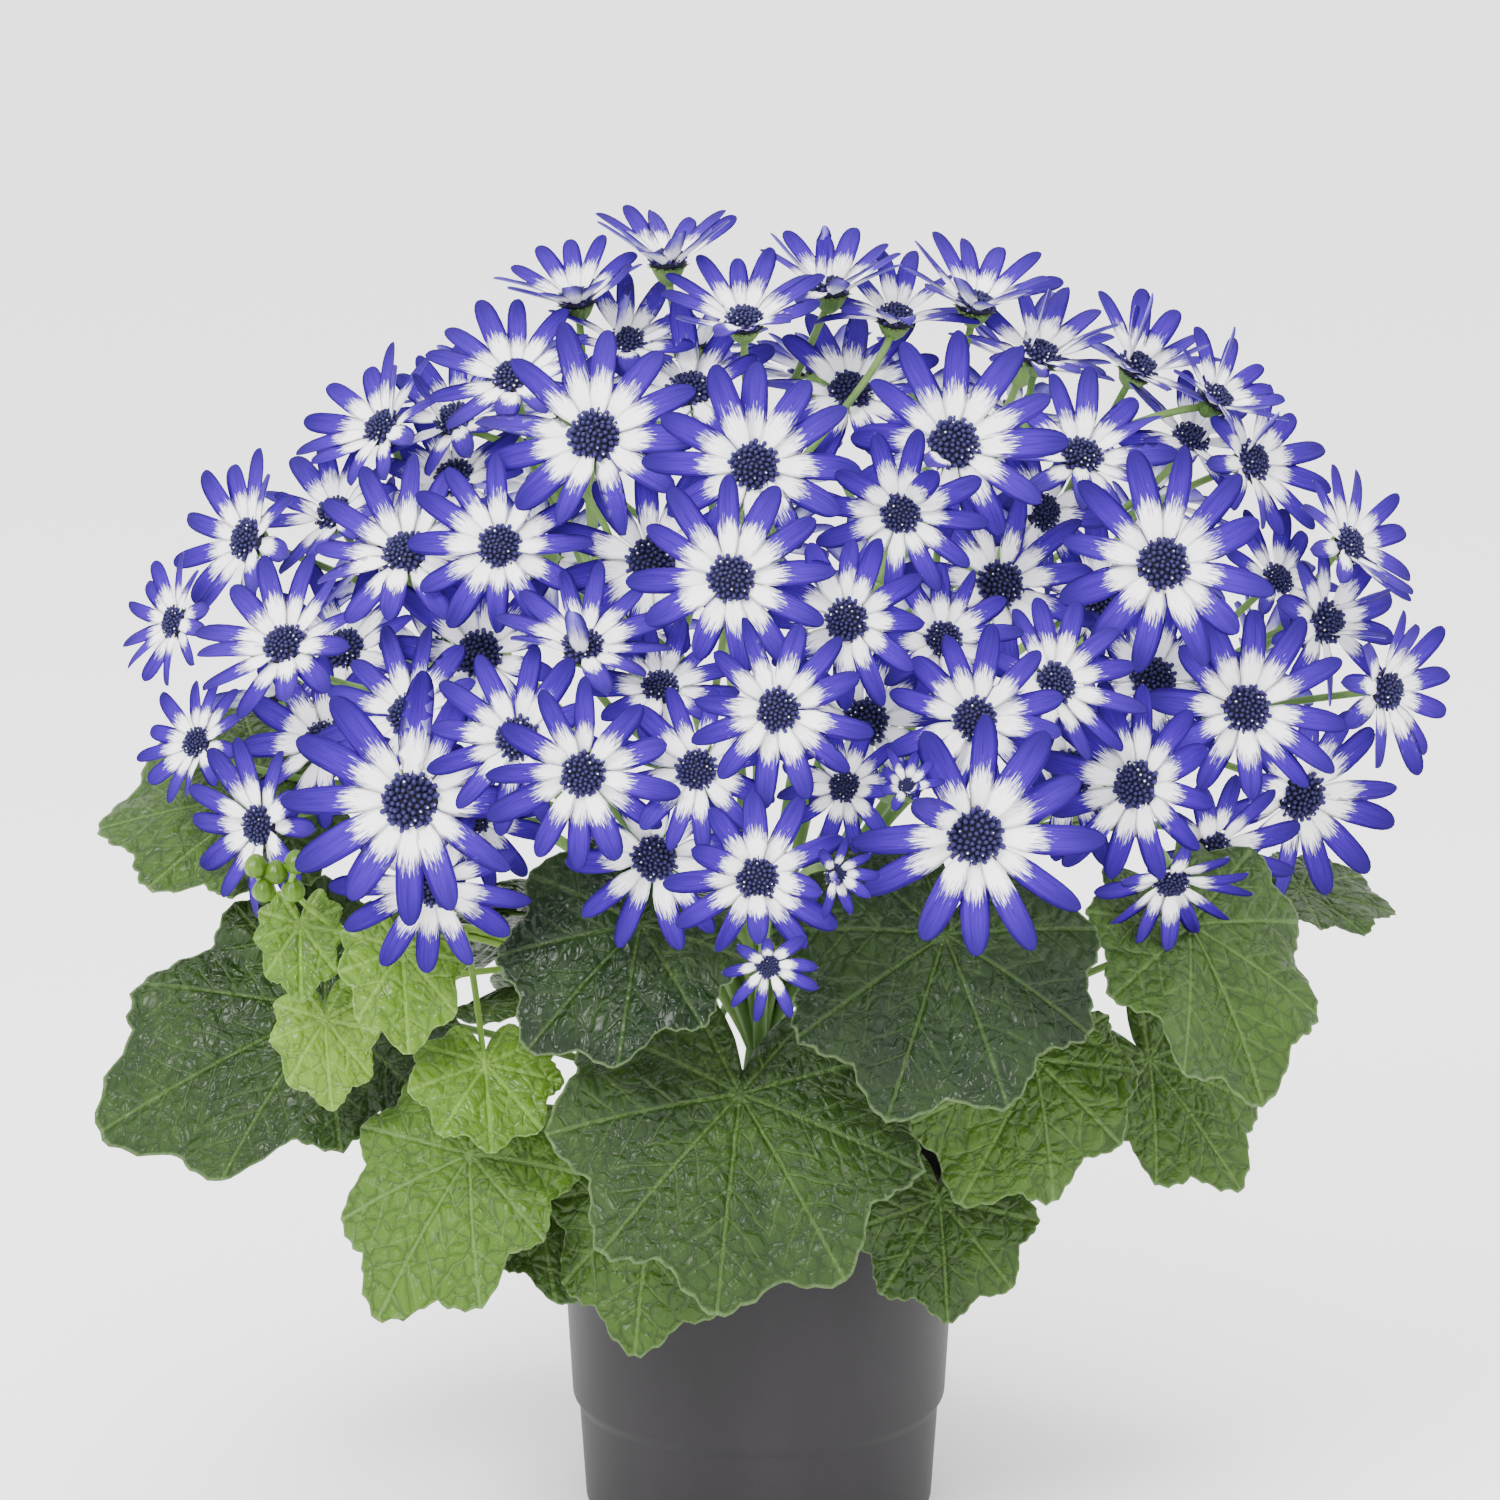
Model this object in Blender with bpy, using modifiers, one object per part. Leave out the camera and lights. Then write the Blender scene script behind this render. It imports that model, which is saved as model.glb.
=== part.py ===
"""A potted cineraria: a turned nursery pot, compost, a branching green stem,
lobed leaves and a dome of two-tone daisy blooms carried in sprays.
Metres, Z up, the front of the plant faces -Y, the pot stands on Z = 0."""

import math
import random

import bpy
import numpy as np
from mathutils.bvhtree import BVHTree

POT_HEIGHT = 0.120
POT_RIM_RADIUS = 0.0682
POT_BAND_FOOT_RADIUS = 0.0636
POT_BAND_FOOT = 0.0375
POT_STEP_RADIUS = 0.0614
POT_BASE_RADIUS = 0.0592
POT_WALL = 0.0020
POT_FLOOR = 0.0035
POT_STEPS = 36

SOIL_TOP = 0.107
SOIL_HOLE_DEPTH = 0.026
TRUNK_RADIUS = 0.0062
TRUNK_TOP = 0.158
GAP = 0.0003

DOME_WIDE = 0.186
DOME_TALL = 0.163
DOME_MIDDLE = 0.258

VIEW_TILT = math.radians(12)
VIEW_DISTANCE = 1.6
VIEW_MIDDLE = (-0.003, 0.0, 0.2604)
VIEW_STEP = 0.000333

FRONT_PETALS = 9
BACK_PETALS = 7
INNER_PETALS = 7
PETAL_THICK = 0.0016
DISC_SHARE = 0.20
VALLEY_SHARE = 0.47
SHOULDER_SHARE = 0.79
PETAL_HALF_WIDTH = 0.118
CUP = math.radians(13)
TOP_CUP = math.radians(20)
LAYER_STEP = 0.0075
SPRAYS = 24
HUB_SHARE = 0.60
HUB_RADIUS = 0.0026
PEDICEL_RADIUS = 0.0012
BRANCH_RADIUS = 0.0020
CALYX_DEPTH = 0.0062
CLEAR = 0.0005

LEAF_THICK = 0.0010
SMALL_LEAF = 0.028
PETIOLE_RADIUS = 0.0017
LOBE_TIPS = (0, 36, 74, 112, 148)

# Each bloom: across and down in the front view, its width there, the way it
# faces off the line of sight (right, up), and how many layers it sits below
# the outer blooms.
FRONT_BLOOMS = (
    (595, 437, 250, -0.15, 0.30, 0),
    (754, 467, 230, 0.00, 0.15, 0),
    (953, 445, 245, 0.10, 0.20, 0),
    (901, 513, 190, 0.00, -0.10, 1),
    (1081, 457, 200, 0.10, 0.70, 1),
    (1043, 511, 180, 0.80, 0.10, 3),
    (1162, 565, 245, 0.10, 0.15, 0),
    (1251, 462, 190, 0.90, 0.30, 1),
    (1190, 440, 180, 0.50, 0.90, 2),
    (1325, 622, 200, 0.80, 0.00, 1),
    (1276, 580, 160, 0.70, 0.60, 3),
    (1348, 545, 180, 1.10, 0.40, 2),
    (1246, 709, 225, 0.20, 0.10, 0),
    (1300, 795, 230, 0.50, -0.30, 1),
    (1138, 785, 225, -0.70, 0.10, 1),
    (1213, 850, 190, 0.50, -0.60, 2),
    (1170, 880, 170, 0.10, -1.10, 1),
    (975, 836, 265, 0.05, -0.15, 0),
    (975, 719, 205, 0.00, 0.00, 1),
    (1054, 684, 200, 0.50, 0.30, 2),
    (943, 639, 170, 0.10, 0.10, 3),
    (848, 620, 205, -0.30, -0.10, 1),
    (731, 579, 225, 0.00, 0.15, 0),
    (777, 710, 205, 0.10, -0.05, 0),
    (697, 770, 190, -0.20, 0.05, 1),
    (583, 773, 215, 0.05, -0.35, 0),
    (518, 739, 205, -0.15, 0.10, 1),
    (583, 647, 195, 0.00, 0.80, 2),
    (660, 688, 175, 0.10, 0.70, 3),
    (500, 547, 205, -0.10, 0.20, 1),
    (406, 554, 215, -0.30, 0.60, 0),
    (335, 515, 185, -0.50, 0.80, 2),
    (285, 646, 205, -0.40, 0.70, 0),
    (249, 540, 200, -1.00, 0.30, 1),
    (198, 743, 150, -0.70, 0.40, 0),
    (411, 801, 270, -0.15, 0.00, 0),
    (409, 715, 200, -0.50, 0.60, 2),
    (432, 884, 210, -0.05, -0.45, 1),
    (473, 815, 170, 0.20, -0.20, 4),
    (757, 878, 200, 0.00, -0.15, 0),
    (844, 787, 150, 0.10, 0.20, 3),
    (261, 825, 190, -0.80, -0.20, 1),
    (514, 379, 200, -0.10, 0.80, 1),
    (626, 343, 180, 0.10, 1.00, 2),
    (455, 421, 190, -0.50, 0.90, 2),
    (383, 428, 185, -0.80, 0.80, 1),
    (577, 300, 175, -0.20, 1.80, 0),
    (744, 322, 190, 0.00, 1.30, 1),
    (668, 262, 180, -0.10, 2.60, 1),
    (830, 290, 185, 0.10, 2.40, 0),
    (895, 318, 180, 0.20, 1.50, 2),
    (975, 305, 185, 0.30, 1.80, 1),
    (1040, 356, 190, 0.40, 1.20, 0),
    (1137, 368, 190, 0.70, 1.30, 1),
    (1215, 400, 165, 1.00, 1.10, 0),
    (175, 622, 150, -1.20, 0.30, 2),
)
# Half-open flowers, the same way, with the steepness of their cup in degrees.
YOUNG_BLOOMS = (
    (907, 787, 84, 0.10, 0.30, 0, 42),
    (836, 874, 92, 0.20, -0.20, 0, 40),
    (768, 966, 105, 0.10, -0.30, -1, 30),
)
# Rings of blooms round the back: rise from the dome's middle, first turn and
# step from one to the next, all in degrees, and how many.
BACK_RINGS = (
    (8, 14, 30.4, 6),
    (31, 27, 30.4, 6),
    (54, 27, 25.2, 6),
    (20, 29, 30.4, 5),
    (43, 42, 40, 3),
)
BACK_BLOOMS = sum(ring[3] for ring in BACK_RINGS)
# Blooms deeper in the dome, seen in part between the outer ones, the same way.
INNER_BLOOMS = (
    (652, 562, 213, 0.00, 0.10, 4),
    (690, 392, 208, -0.10, 0.80, 4),
    (850, 392, 208, 0.10, 0.70, 4),
    (1000, 585, 208, 0.10, 0.20, 5),
    (480, 655, 208, -0.20, 0.30, 4),
    (325, 742, 198, -0.50, 0.30, 4),
    (1152, 680, 208, 0.20, 0.20, 4),
    (1072, 772, 198, 0.10, 0.00, 5),
    (865, 722, 198, 0.00, 0.00, 5),
    (655, 858, 193, -0.10, -0.20, 3),
    (1385, 690, 188, 0.90, 0.10, 2),
    (455, 480, 198, -0.40, 0.60, 5),
    (1100, 600, 198, 0.20, 0.30, 6),
    (345, 650, 198, -0.40, 0.40, 5),
)

# Each leaf: where its blade meets the stalk and where its tip lies, both as
# across, down in the front view and depth; half its width; the way its upper
# side faces; how far its edges droop.
LEAVES = (
    ((740, 1095, -0.122), (715, 1310, -0.160), 0.062, (0.0, -0.75, 0.65), 0.20),
    ((655, 1185, -0.092), (628, 1360, -0.108), 0.036, (-0.2, -0.9, 0.35), 0.15),
    ((945, 935, -0.128), (890, 1112, -0.165), 0.055, (0.1, -0.8, 0.6), 0.16),
    ((1035, 1060, -0.096), (965, 1208, -0.118), 0.039, (0.3, -0.85, 0.4), 0.14),
    ((940, 1200, -0.082), (950, 1325, -0.098), 0.033, (0.15, -0.95, 0.25), 0.10),
    ((1150, 1060, -0.055), (1250, 1188, -0.070), 0.032, (0.4, -0.8, 0.4), 0.12),
    ((1190, 925, -0.098), (1285, 1095, -0.122), 0.044, (0.4, -0.6, 0.7), 0.14),
    ((1300, 890, 0.000), (1400, 905, 0.000), 0.022, (0.3, -0.4, 0.85), 0.12),
    ((640, 925, -0.130), (520, 1042, -0.150), 0.040, (-0.1, -0.8, 0.6), 0.16),
    ((270, 795, -0.010), (88, 815, -0.005), 0.042, (-0.4, -0.6, 0.7), 0.14),
    ((325, 1010, -0.040), (82, 1118, -0.055), 0.050, (-0.3, -0.8, 0.5), 0.16),
    ((470, 1155, -0.092), (365, 1316, -0.112), 0.038, (-0.2, -0.8, 0.55), 0.18),
    ((540, 1205, -0.078), (635, 1300, -0.092), 0.024, (0.0, -0.9, 0.4), 0.12),
)
BACK_LEAVES = 7
SHOOT_LEAVES = (
    ((300, 925, -0.100), (300, 1003, -0.112), 0.015, (-0.1, -0.85, 0.5), 0.12),
    ((402, 950, -0.112), (408, 1053, -0.128), 0.021, (0.0, -0.8, 0.6), 0.14),
    ((325, 1020, -0.088), (330, 1113, -0.098), 0.019, (-0.2, -0.85, 0.5), 0.12),
    ((485, 1065, -0.105), (492, 1152, -0.122), 0.026, (0.1, -0.8, 0.6), 0.12),
)
SHOOT_FORK = (372, 935, -0.085)
SHOOT_BUDS = ((293, 890), (296, 862), (276, 872), (256, 866), (264, 890))
BUD_RADIUS = 0.0036


for old in list(bpy.data.objects):
    bpy.data.objects.remove(old, do_unlink=True)
bpy.context.scene.unit_settings.scale_length = 1.0


def new_collection(name):
    made = bpy.data.collections.new(name)
    bpy.context.scene.collection.children.link(made)
    return made


plant = new_collection("potted_cineraria")
cutters = new_collection("cutters")
cutters.hide_render = True


def material(name, color, roughness, metallic=0.0):
    """A plain Principled material."""
    made = bpy.data.materials.new(name)
    made.use_nodes = True
    shader = made.node_tree.nodes["Principled BSDF"]
    shader.inputs["Base Color"].default_value = (*color, 1.0)
    shader.inputs["Roughness"].default_value = roughness
    shader.inputs["Metallic"].default_value = metallic
    made.diffuse_color = (*color, 1.0)
    return made


pot_plastic = material("pot_plastic", (0.065, 0.060, 0.064), 0.55)
soil_dark = material("compost", (0.030, 0.020, 0.014), 0.95)
stem_green = material("stem_green", (0.14, 0.25, 0.06), 0.55)
leaf_green = material("leaf_green", (0.035, 0.115, 0.030), 0.50)
young_green = material("young_leaf_green", (0.10, 0.24, 0.05), 0.50)
petal_violet = material("petal_violet", (0.09, 0.035, 0.62), 0.60)


def mesh_object(name, points, faces, look, where=plant):
    """One object from points and faces."""
    data = bpy.data.meshes.new(name)
    data.from_pydata([tuple(map(float, p)) for p in points], [], [tuple(f) for f in faces])
    data.update()
    made = bpy.data.objects.new(name, data)
    made.data.materials.append(look)
    where.objects.link(made)
    return made


def tree_of(shape):
    return BVHTree.FromPolygons([tuple(p) for p in shape[0]], [tuple(f) for f in shape[1]])


def unit(v):
    v = np.asarray(v, float)
    return v / np.linalg.norm(v)


def seen_at(across, down, depth):
    """The point at this depth that the front view shows at this place."""
    middle = np.array(VIEW_MIDDLE)
    back = np.array([0.0, -math.cos(VIEW_TILT), math.sin(VIEW_TILT)])
    up = np.array([0.0, math.sin(VIEW_TILT), math.cos(VIEW_TILT)])
    eye = middle + back * VIEW_DISTANCE
    aim = middle + np.array([(across - 750) * VIEW_STEP, 0, 0]) + up * (750 - down) * VIEW_STEP
    line = aim - eye
    return eye + line * (depth - eye[1]) / line[1]


def on_dome(across, down, inner):
    """Where the sight line through this place meets the dome, sunk by inner."""
    middle = np.array(VIEW_MIDDLE)
    back = np.array([0.0, -math.cos(VIEW_TILT), math.sin(VIEW_TILT)])
    up = np.array([0.0, math.sin(VIEW_TILT), math.cos(VIEW_TILT)])
    eye = middle + back * VIEW_DISTANCE
    aim = middle + np.array([(across - 750) * VIEW_STEP, 0, 0]) + up * (750 - down) * VIEW_STEP
    line = unit(aim - eye)
    size = np.array([DOME_WIDE - inner, DOME_WIDE - inner, DOME_TALL - inner])
    start = (eye - np.array([0, 0, DOME_MIDDLE])) / size
    step = line / size
    a = step @ step
    b = 2 * start @ step
    c = start @ start - 1
    inside = b * b - 4 * a * c
    if inside < 0:
        return eye + line * (-b / (2 * a))
    return eye + line * ((-b - math.sqrt(inside)) / (2 * a))


def side_frame(axis):
    """Two directions square to an axis."""
    axis = unit(axis)
    side = np.cross(axis, [0.0, 0.0, 1.0])
    if np.linalg.norm(side) < 1e-3:
        side = np.array([1.0, 0.0, 0.0])
    side = unit(side)
    return side, np.cross(axis, side)


def tube(path, radii, sides):
    """A closed round rod along a path, its ring turned as little as can be."""
    path = np.asarray(path, float)
    ways = np.gradient(path, axis=0)
    side, _ = side_frame(ways[0])
    points = []
    for place, way, radius in zip(path, ways, radii):
        way = unit(way)
        side = unit(side - way * (side @ way))
        other = np.cross(way, side)
        for k in range(sides):
            angle = 2 * math.pi * k / sides
            points.append(place + radius * (math.cos(angle) * side + math.sin(angle) * other))
    faces = []
    for ring in range(len(path) - 1):
        for k in range(sides):
            a = ring * sides + k
            b = ring * sides + (k + 1) % sides
            faces.append((a, b, b + sides))
            faces.append((a, b + sides, a + sides))
    last = (len(path) - 1) * sides
    faces += [(0, k + 1, k) for k in range(1, sides - 1)]
    faces += [(last, last + k, last + k + 1) for k in range(1, sides - 1)]
    return np.array(points), faces


def bezier(a, b, c, d, count):
    t = np.linspace(0, 1, count)[:, None]
    return (1 - t) ** 3 * a + 3 * t * (1 - t) ** 2 * b + 3 * t * t * (1 - t) * c + t**3 * d


def ball(middle, radius):
    """A small rounded knob of twenty faces."""
    g = (1 + math.sqrt(5)) / 2
    points = []
    for s in (-1, 1):
        for t in (-g, g):
            points += [(0, s, t), (s, t, 0), (t, 0, s)]
    points = np.array(points, float) / math.sqrt(1 + g * g)
    faces = []
    for i in range(12):
        for j in range(i + 1, 12):
            for k in range(j + 1, 12):
                a, b, c = points[i], points[j], points[k]
                if max(a @ b, b @ c, a @ c) < 0.5 and min(a @ b, b @ c, a @ c) > 0.4:
                    out = np.cross(b - a, c - a) @ (a + b + c)
                    faces.append((i, j, k) if out > 0 else (i, k, j))
    return points * radius + middle, faces


def knob(middle, radius):
    """A fork's small eight-sided swelling."""
    ends = [(1, 0, 0), (0, 1, 0), (-1, 0, 0), (0, -1, 0), (0, 0, 1), (0, 0, -1)]
    faces = []
    for k in range(4):
        faces += [(k, (k + 1) % 4, 4), ((k + 1) % 4, k, 5)]
    return np.array(ends, float) * radius + middle, faces


class Bloom:
    """One flower: where its disc lies, the way it faces, and each petal's
    steepness, length and turn about the disc."""

    def __init__(self, place, facing, radius, petals, cup, seed):
        rng = random.Random(seed)
        self.place = np.asarray(place, float)
        self.facing = unit(facing)
        self.radius = radius
        self.count = petals
        self.side, self.other = side_frame(self.facing)
        self.start = rng.uniform(0, 2 * math.pi)
        self.cup = cup
        self.lifts = [cup + math.radians(rng.uniform(-5, 5)) for _ in range(petals)]
        self.lengths = [rng.uniform(0.92, 1.0) for _ in range(petals)]

    def spot(self, angle, out, lift, across=0.0, deep=0.0):
        """A point out along a petal that rises from the disc's edge."""
        way = math.cos(angle) * self.side + math.sin(angle) * self.other
        turn = -math.sin(angle) * self.side + math.cos(angle) * self.other
        start = DISC_SHARE * self.radius
        run = max(out - start, 0.0)
        flat = min(out, start) + run * math.cos(lift)
        rise = run * math.sin(lift) - deep * math.cos(lift)
        flat += deep * math.sin(lift)
        return self.place + flat * way + rise * self.facing + across * turn

    def petal_points(self, j, lift, length, grow=0.0):
        """Low shoulder, tip, high shoulder and keel of one petal."""
        angle = self.start + 2 * math.pi * j / self.count
        wide = PETAL_HALF_WIDTH * self.radius + grow
        reach = self.radius * length
        return (
            self.spot(angle, SHOULDER_SHARE * reach, lift, -wide),
            self.spot(angle, reach + grow, lift),
            self.spot(angle, SHOULDER_SHARE * reach, lift, wide),
            self.spot(angle, 0.60 * reach, lift, 0.0, PETAL_THICK + grow),
        )

    def valley(self, j):
        angle = self.start + 2 * math.pi * (j - 0.5) / self.count
        return self.spot(angle, VALLEY_SHARE * self.radius, self.cup)

    def rim(self, j):
        angle = self.start + 2 * math.pi * (j - 0.5) / self.count
        return self.spot(angle, DISC_SHARE * self.radius, 0.0)

    def petal_test(self, j, lift, length):
        """One petal's free part, a little larger, as a closed shape."""
        low, tip, high, keel = self.petal_points(j, lift, length, CLEAR)
        a = self.valley(j)
        e = self.valley(j + 1)
        foot = self.place - self.facing * 0.002
        points = np.array([a, low, tip, high, e, keel, foot])
        raised = points + self.facing * CLEAR
        raised[5] = keel
        faces = [(0, 1, 3), (0, 3, 4), (1, 2, 3), (5, 1, 0), (5, 2, 1)]
        faces += [(5, 3, 2), (5, 4, 3), (5, 6, 4), (5, 0, 6), (6, 0, 4)]
        return raised, faces

    def shape(self):
        points = [self.place + self.facing * 0.12 * self.radius, self.foot()]
        n = self.count
        for j in range(n):
            points += [self.rim(j), self.valley(j)]
            points += list(self.petal_points(j, self.lifts[j], self.lengths[j]))
        faces = []
        for j in range(n):
            base = 2 + 6 * j
            after = 2 + 6 * ((j + 1) % n)
            f, a, b, c, d, keel = range(base, base + 6)
            g = after
            e = after + 1
            faces += [(0, f, g), (f, a, e), (f, e, g), (a, b, d), (a, d, e), (b, c, d)]
            faces += [(keel, b, a), (keel, c, b), (keel, d, c), (keel, e, d)]
            faces += [(keel, 1, e), (keel, a, 1)]
        return np.array(points), faces

    def foot(self):
        return self.place - self.facing * CALYX_DEPTH

    def core(self, grow=0.0):
        """The disc and the joined petal feet, which nothing else may enter."""
        top = self.place + self.facing * (0.13 * self.radius + grow)
        foot = self.foot() - self.facing * (0.0005 + grow)
        ring = [self.valley(j) for j in range(self.count)]
        ring = [v + unit(v - self.place) * (0.0008 + grow) for v in ring]
        faces = []
        for j in range(self.count):
            after = (j + 1) % self.count
            faces += [(0, 2 + j, 2 + after), (1, 2 + after, 2 + j)]
        return np.array([top, foot] + ring), faces


def lobe_outline(angle, ahead, wide):
    """Distance from the stalk to a leaf's edge at an angle off the tip: an
    oval with nine pointed lobes, and a cleft where the stalk comes in."""
    degrees = abs(math.degrees(angle))
    long = ahead if degrees < 90 else 0.52 * ahead
    reach = 1 / math.hypot(math.cos(angle) / long, math.sin(angle) / wide)
    gap = min(abs(degrees - tip) for tip in LOBE_TIPS)
    reach *= 1.0 - 0.16 * min(gap / 18.0, 1.0)
    return reach * (1.0 - 0.72 * math.exp(-(((180 - degrees) / 15.0) ** 2)))


class Leaf:
    """One leaf blade: its stalk end, tip, half-width, facing and droop."""

    def __init__(self, base, tip, wide, facing, droop, seed):
        rng = random.Random(seed)
        self.base = np.asarray(base, float)
        self.long = float(np.linalg.norm(np.asarray(tip) - self.base))
        self.ahead = unit(np.asarray(tip) - self.base)
        self.facing = unit(np.asarray(facing, float) - self.ahead * (np.asarray(facing) @ self.ahead))
        self.wide = wide
        self.droop = droop
        self.phase = rng.uniform(0, 2 * math.pi)
        self.wave = rng.uniform(0.035, 0.06)
        self.cup = rng.uniform(0.10, 0.20)

    def turned(self, pitch, roll):
        """The same leaf swung about its stalk end."""
        made = object.__new__(Leaf)
        made.__dict__.update(self.__dict__)
        cos_p, sin_p = math.cos(pitch), math.sin(pitch)
        made.ahead = unit(self.ahead * cos_p + self.facing * sin_p)
        facing = unit(self.facing * cos_p - self.ahead * sin_p)
        side = np.cross(facing, made.ahead)
        made.facing = unit(facing * math.cos(roll) + side * math.sin(roll))
        return made

    def point(self, angle, share, deep=0.0):
        """A point of the blade, share of the way from stalk to edge."""
        side = np.cross(self.facing, self.ahead)
        reach = lobe_outline(angle, self.long, self.wide) * share
        u = reach * math.cos(angle)
        w = reach * math.sin(angle)
        size = 0.5 * (self.long + self.wide)
        high = self.cup * abs(w) - self.droop * (u * u + 1.3 * w * w) / size
        high += self.wave * size * share * share * math.sin(5 * angle + self.phase)
        place = self.base + u * self.ahead + w * side + high * self.facing
        return place - deep * self.facing

    def shape(self, thick=LEAF_THICK, grow=0.0):
        angles = [0.0]
        for k, tip in enumerate(LOBE_TIPS[1:]):
            angles += [math.radians((tip + LOBE_TIPS[k]) / 2), math.radians(tip)]
        angles += [math.radians(166)]
        ring = (0, 37, 74, 112, 150, 180, 210, 248, 286, 323)
        if self.wide < SMALL_LEAF:
            angles = [math.radians(a) for a in (0, 26, 48, 80, 112, 155)]
            ring = (0, 60, 120, 180, 240, 300)
        full = angles + [math.pi] + [-a for a in reversed(angles[1:])]
        inner = [math.radians(a) for a in ring]
        count = len(full)
        points = []
        for deep in (-grow, thick + grow):
            points.append(self.point(0.0, 0.0, deep))
            points += [self.point(a, 0.52, deep) for a in inner]
            points += [self.point(a, 1.0, deep) for a in full]
        m = len(inner)
        half = 1 + m + count
        position = [a % (2 * math.pi) for a in full]
        top = [(0, 1 + k, 1 + (k + 1) % m) for k in range(m)]
        k = 0
        i = 0
        while k < m or i < count:
            turn_in = (inner[k + 1] if k + 1 < m else 2 * math.pi) if k < m else 99
            turn_out = (position[i + 1] if i + 1 < count else 2 * math.pi) if i < count else 99
            a = 1 + k % m
            b = 1 + m + i % count
            if turn_out <= turn_in + 1e-6:
                top.append((a, b, 1 + m + (i + 1) % count))
                i += 1
            else:
                top.append((a, b, 1 + (k + 1) % m))
                k += 1
        faces = list(top) + [(a + half, c + half, b + half) for a, b, c in top]
        for i in range(count):
            a = 1 + m + i
            b = 1 + m + (i + 1) % count
            faces += [(a, a + half, b), (b, a + half, b + half)]
        return np.array(points), faces


def petiole(leaf, high, aside, sides=5):
    """The stalk from the stem to the underside of a blade's middle."""
    angle = math.atan2(leaf.base[1], leaf.base[0]) + aside
    out = np.array([math.cos(angle), math.sin(angle), 0.0])
    start = out * (TRUNK_RADIUS + 0.0002) + np.array([0, 0, high])
    root = start + out * 0.004
    end = leaf.base - leaf.facing * 0.0006 + leaf.ahead * 0.004
    near = leaf.base - leaf.facing * 0.012 - leaf.ahead * 0.028
    clear_rim = POT_HEIGHT + 0.018
    near[2] = max(near[2], clear_rim + 0.004)
    rise = root + out * 0.022 + np.array([0, 0, max(0.0, clear_rim + 0.006 - root[2])])
    path = np.concatenate([[start], bezier(root, rise, near, end, 5)])
    return tube(path, np.linspace(PETIOLE_RADIUS, PETIOLE_RADIUS * 0.62, 6), sides)


def fuse(name, shapes, look):
    """One closed body from overlapping closed shapes."""
    first = mesh_object(name, *shapes[0], look)
    if len(shapes) == 1:
        return first
    group = bpy.data.collections.new(name + "_pieces")
    bpy.context.scene.collection.children.link(group)
    others = [mesh_object(f"{name}_{k}", *s, look, group) for k, s in enumerate(shapes[1:])]
    union = first.modifiers.new("fuse", "BOOLEAN")
    union.operation = "UNION"
    union.operand_type = "COLLECTION"
    union.collection = group
    union.solver = "MANIFOLD"
    bpy.context.view_layer.update()
    graph = bpy.context.evaluated_depsgraph_get()
    data = bpy.data.meshes.new_from_object(first.evaluated_get(graph))
    first.modifiers.remove(union)
    first.data = data
    for other in others:
        bpy.data.objects.remove(other, do_unlink=True)
    bpy.data.collections.remove(group)
    return first


# Pot: a turned shell with a deep upper band that steps in near the foot.
pot_profile = (
    (0.0, POT_FLOOR),
    (POT_BASE_RADIUS - 0.0045, POT_FLOOR),
    (POT_STEP_RADIUS - POT_WALL, POT_BAND_FOOT - 0.003),
    (POT_RIM_RADIUS - POT_WALL - 0.0004, POT_HEIGHT - 0.0006),
    (POT_RIM_RADIUS - POT_WALL + 0.0002, POT_HEIGHT),
    (POT_RIM_RADIUS - 0.0004, POT_HEIGHT),
    (POT_RIM_RADIUS, POT_HEIGHT - 0.0006),
    (POT_BAND_FOOT_RADIUS, POT_BAND_FOOT),
    (POT_BAND_FOOT_RADIUS - 0.0006, POT_BAND_FOOT - 0.0010),
    (POT_STEP_RADIUS, POT_BAND_FOOT - 0.0036),
    (POT_BASE_RADIUS, 0.0012),
    (POT_BASE_RADIUS - 0.0012, 0.0),
    (0.0, 0.0),
)
profile_mesh = bpy.data.meshes.new("pot")
profile_mesh.from_pydata(
    [(r, 0, z) for r, z in pot_profile], [(k, k + 1) for k in range(len(pot_profile) - 1)], []
)
pot = bpy.data.objects.new("pot", profile_mesh)
pot.data.materials.append(pot_plastic)
plant.objects.link(pot)
turn = pot.modifiers.new("turn", "SCREW")
turn.steps = POT_STEPS
turn.render_steps = POT_STEPS
turn.use_merge_vertices = True
turn.merge_threshold = 0.0001
turn.use_smooth_shade = True


# Compost: fills the pot to a little under its rim, with a hole for the stem.
def inner_wall(z):
    """Inner radius of the pot at a height."""
    marks = [p for p in pot_profile[1:4]]
    return float(np.interp(z, [p[1] for p in marks], [p[0] for p in marks]))


def ring_solid(name, profile, steps, look):
    """A turned solid that closes on the axis at both ends."""
    points = [(0.0, 0.0, profile[0][1]), (0.0, 0.0, profile[-1][1])]
    for r, z in profile[1:-1]:
        for k in range(steps):
            angle = 2 * math.pi * k / steps
            points.append((r * math.cos(angle), r * math.sin(angle), z))
    faces = []
    rings = len(profile) - 2
    for k in range(steps):
        after = (k + 1) % steps
        faces.append((0, 2 + after, 2 + k))
        faces.append((1, 2 + (rings - 1) * steps + k, 2 + (rings - 1) * steps + after))
        for ring in range(rings - 1):
            a = 2 + ring * steps + k
            b = 2 + ring * steps + after
            faces.append((a, b, b + steps, a + steps))
    return mesh_object(name, points, faces, look)


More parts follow.
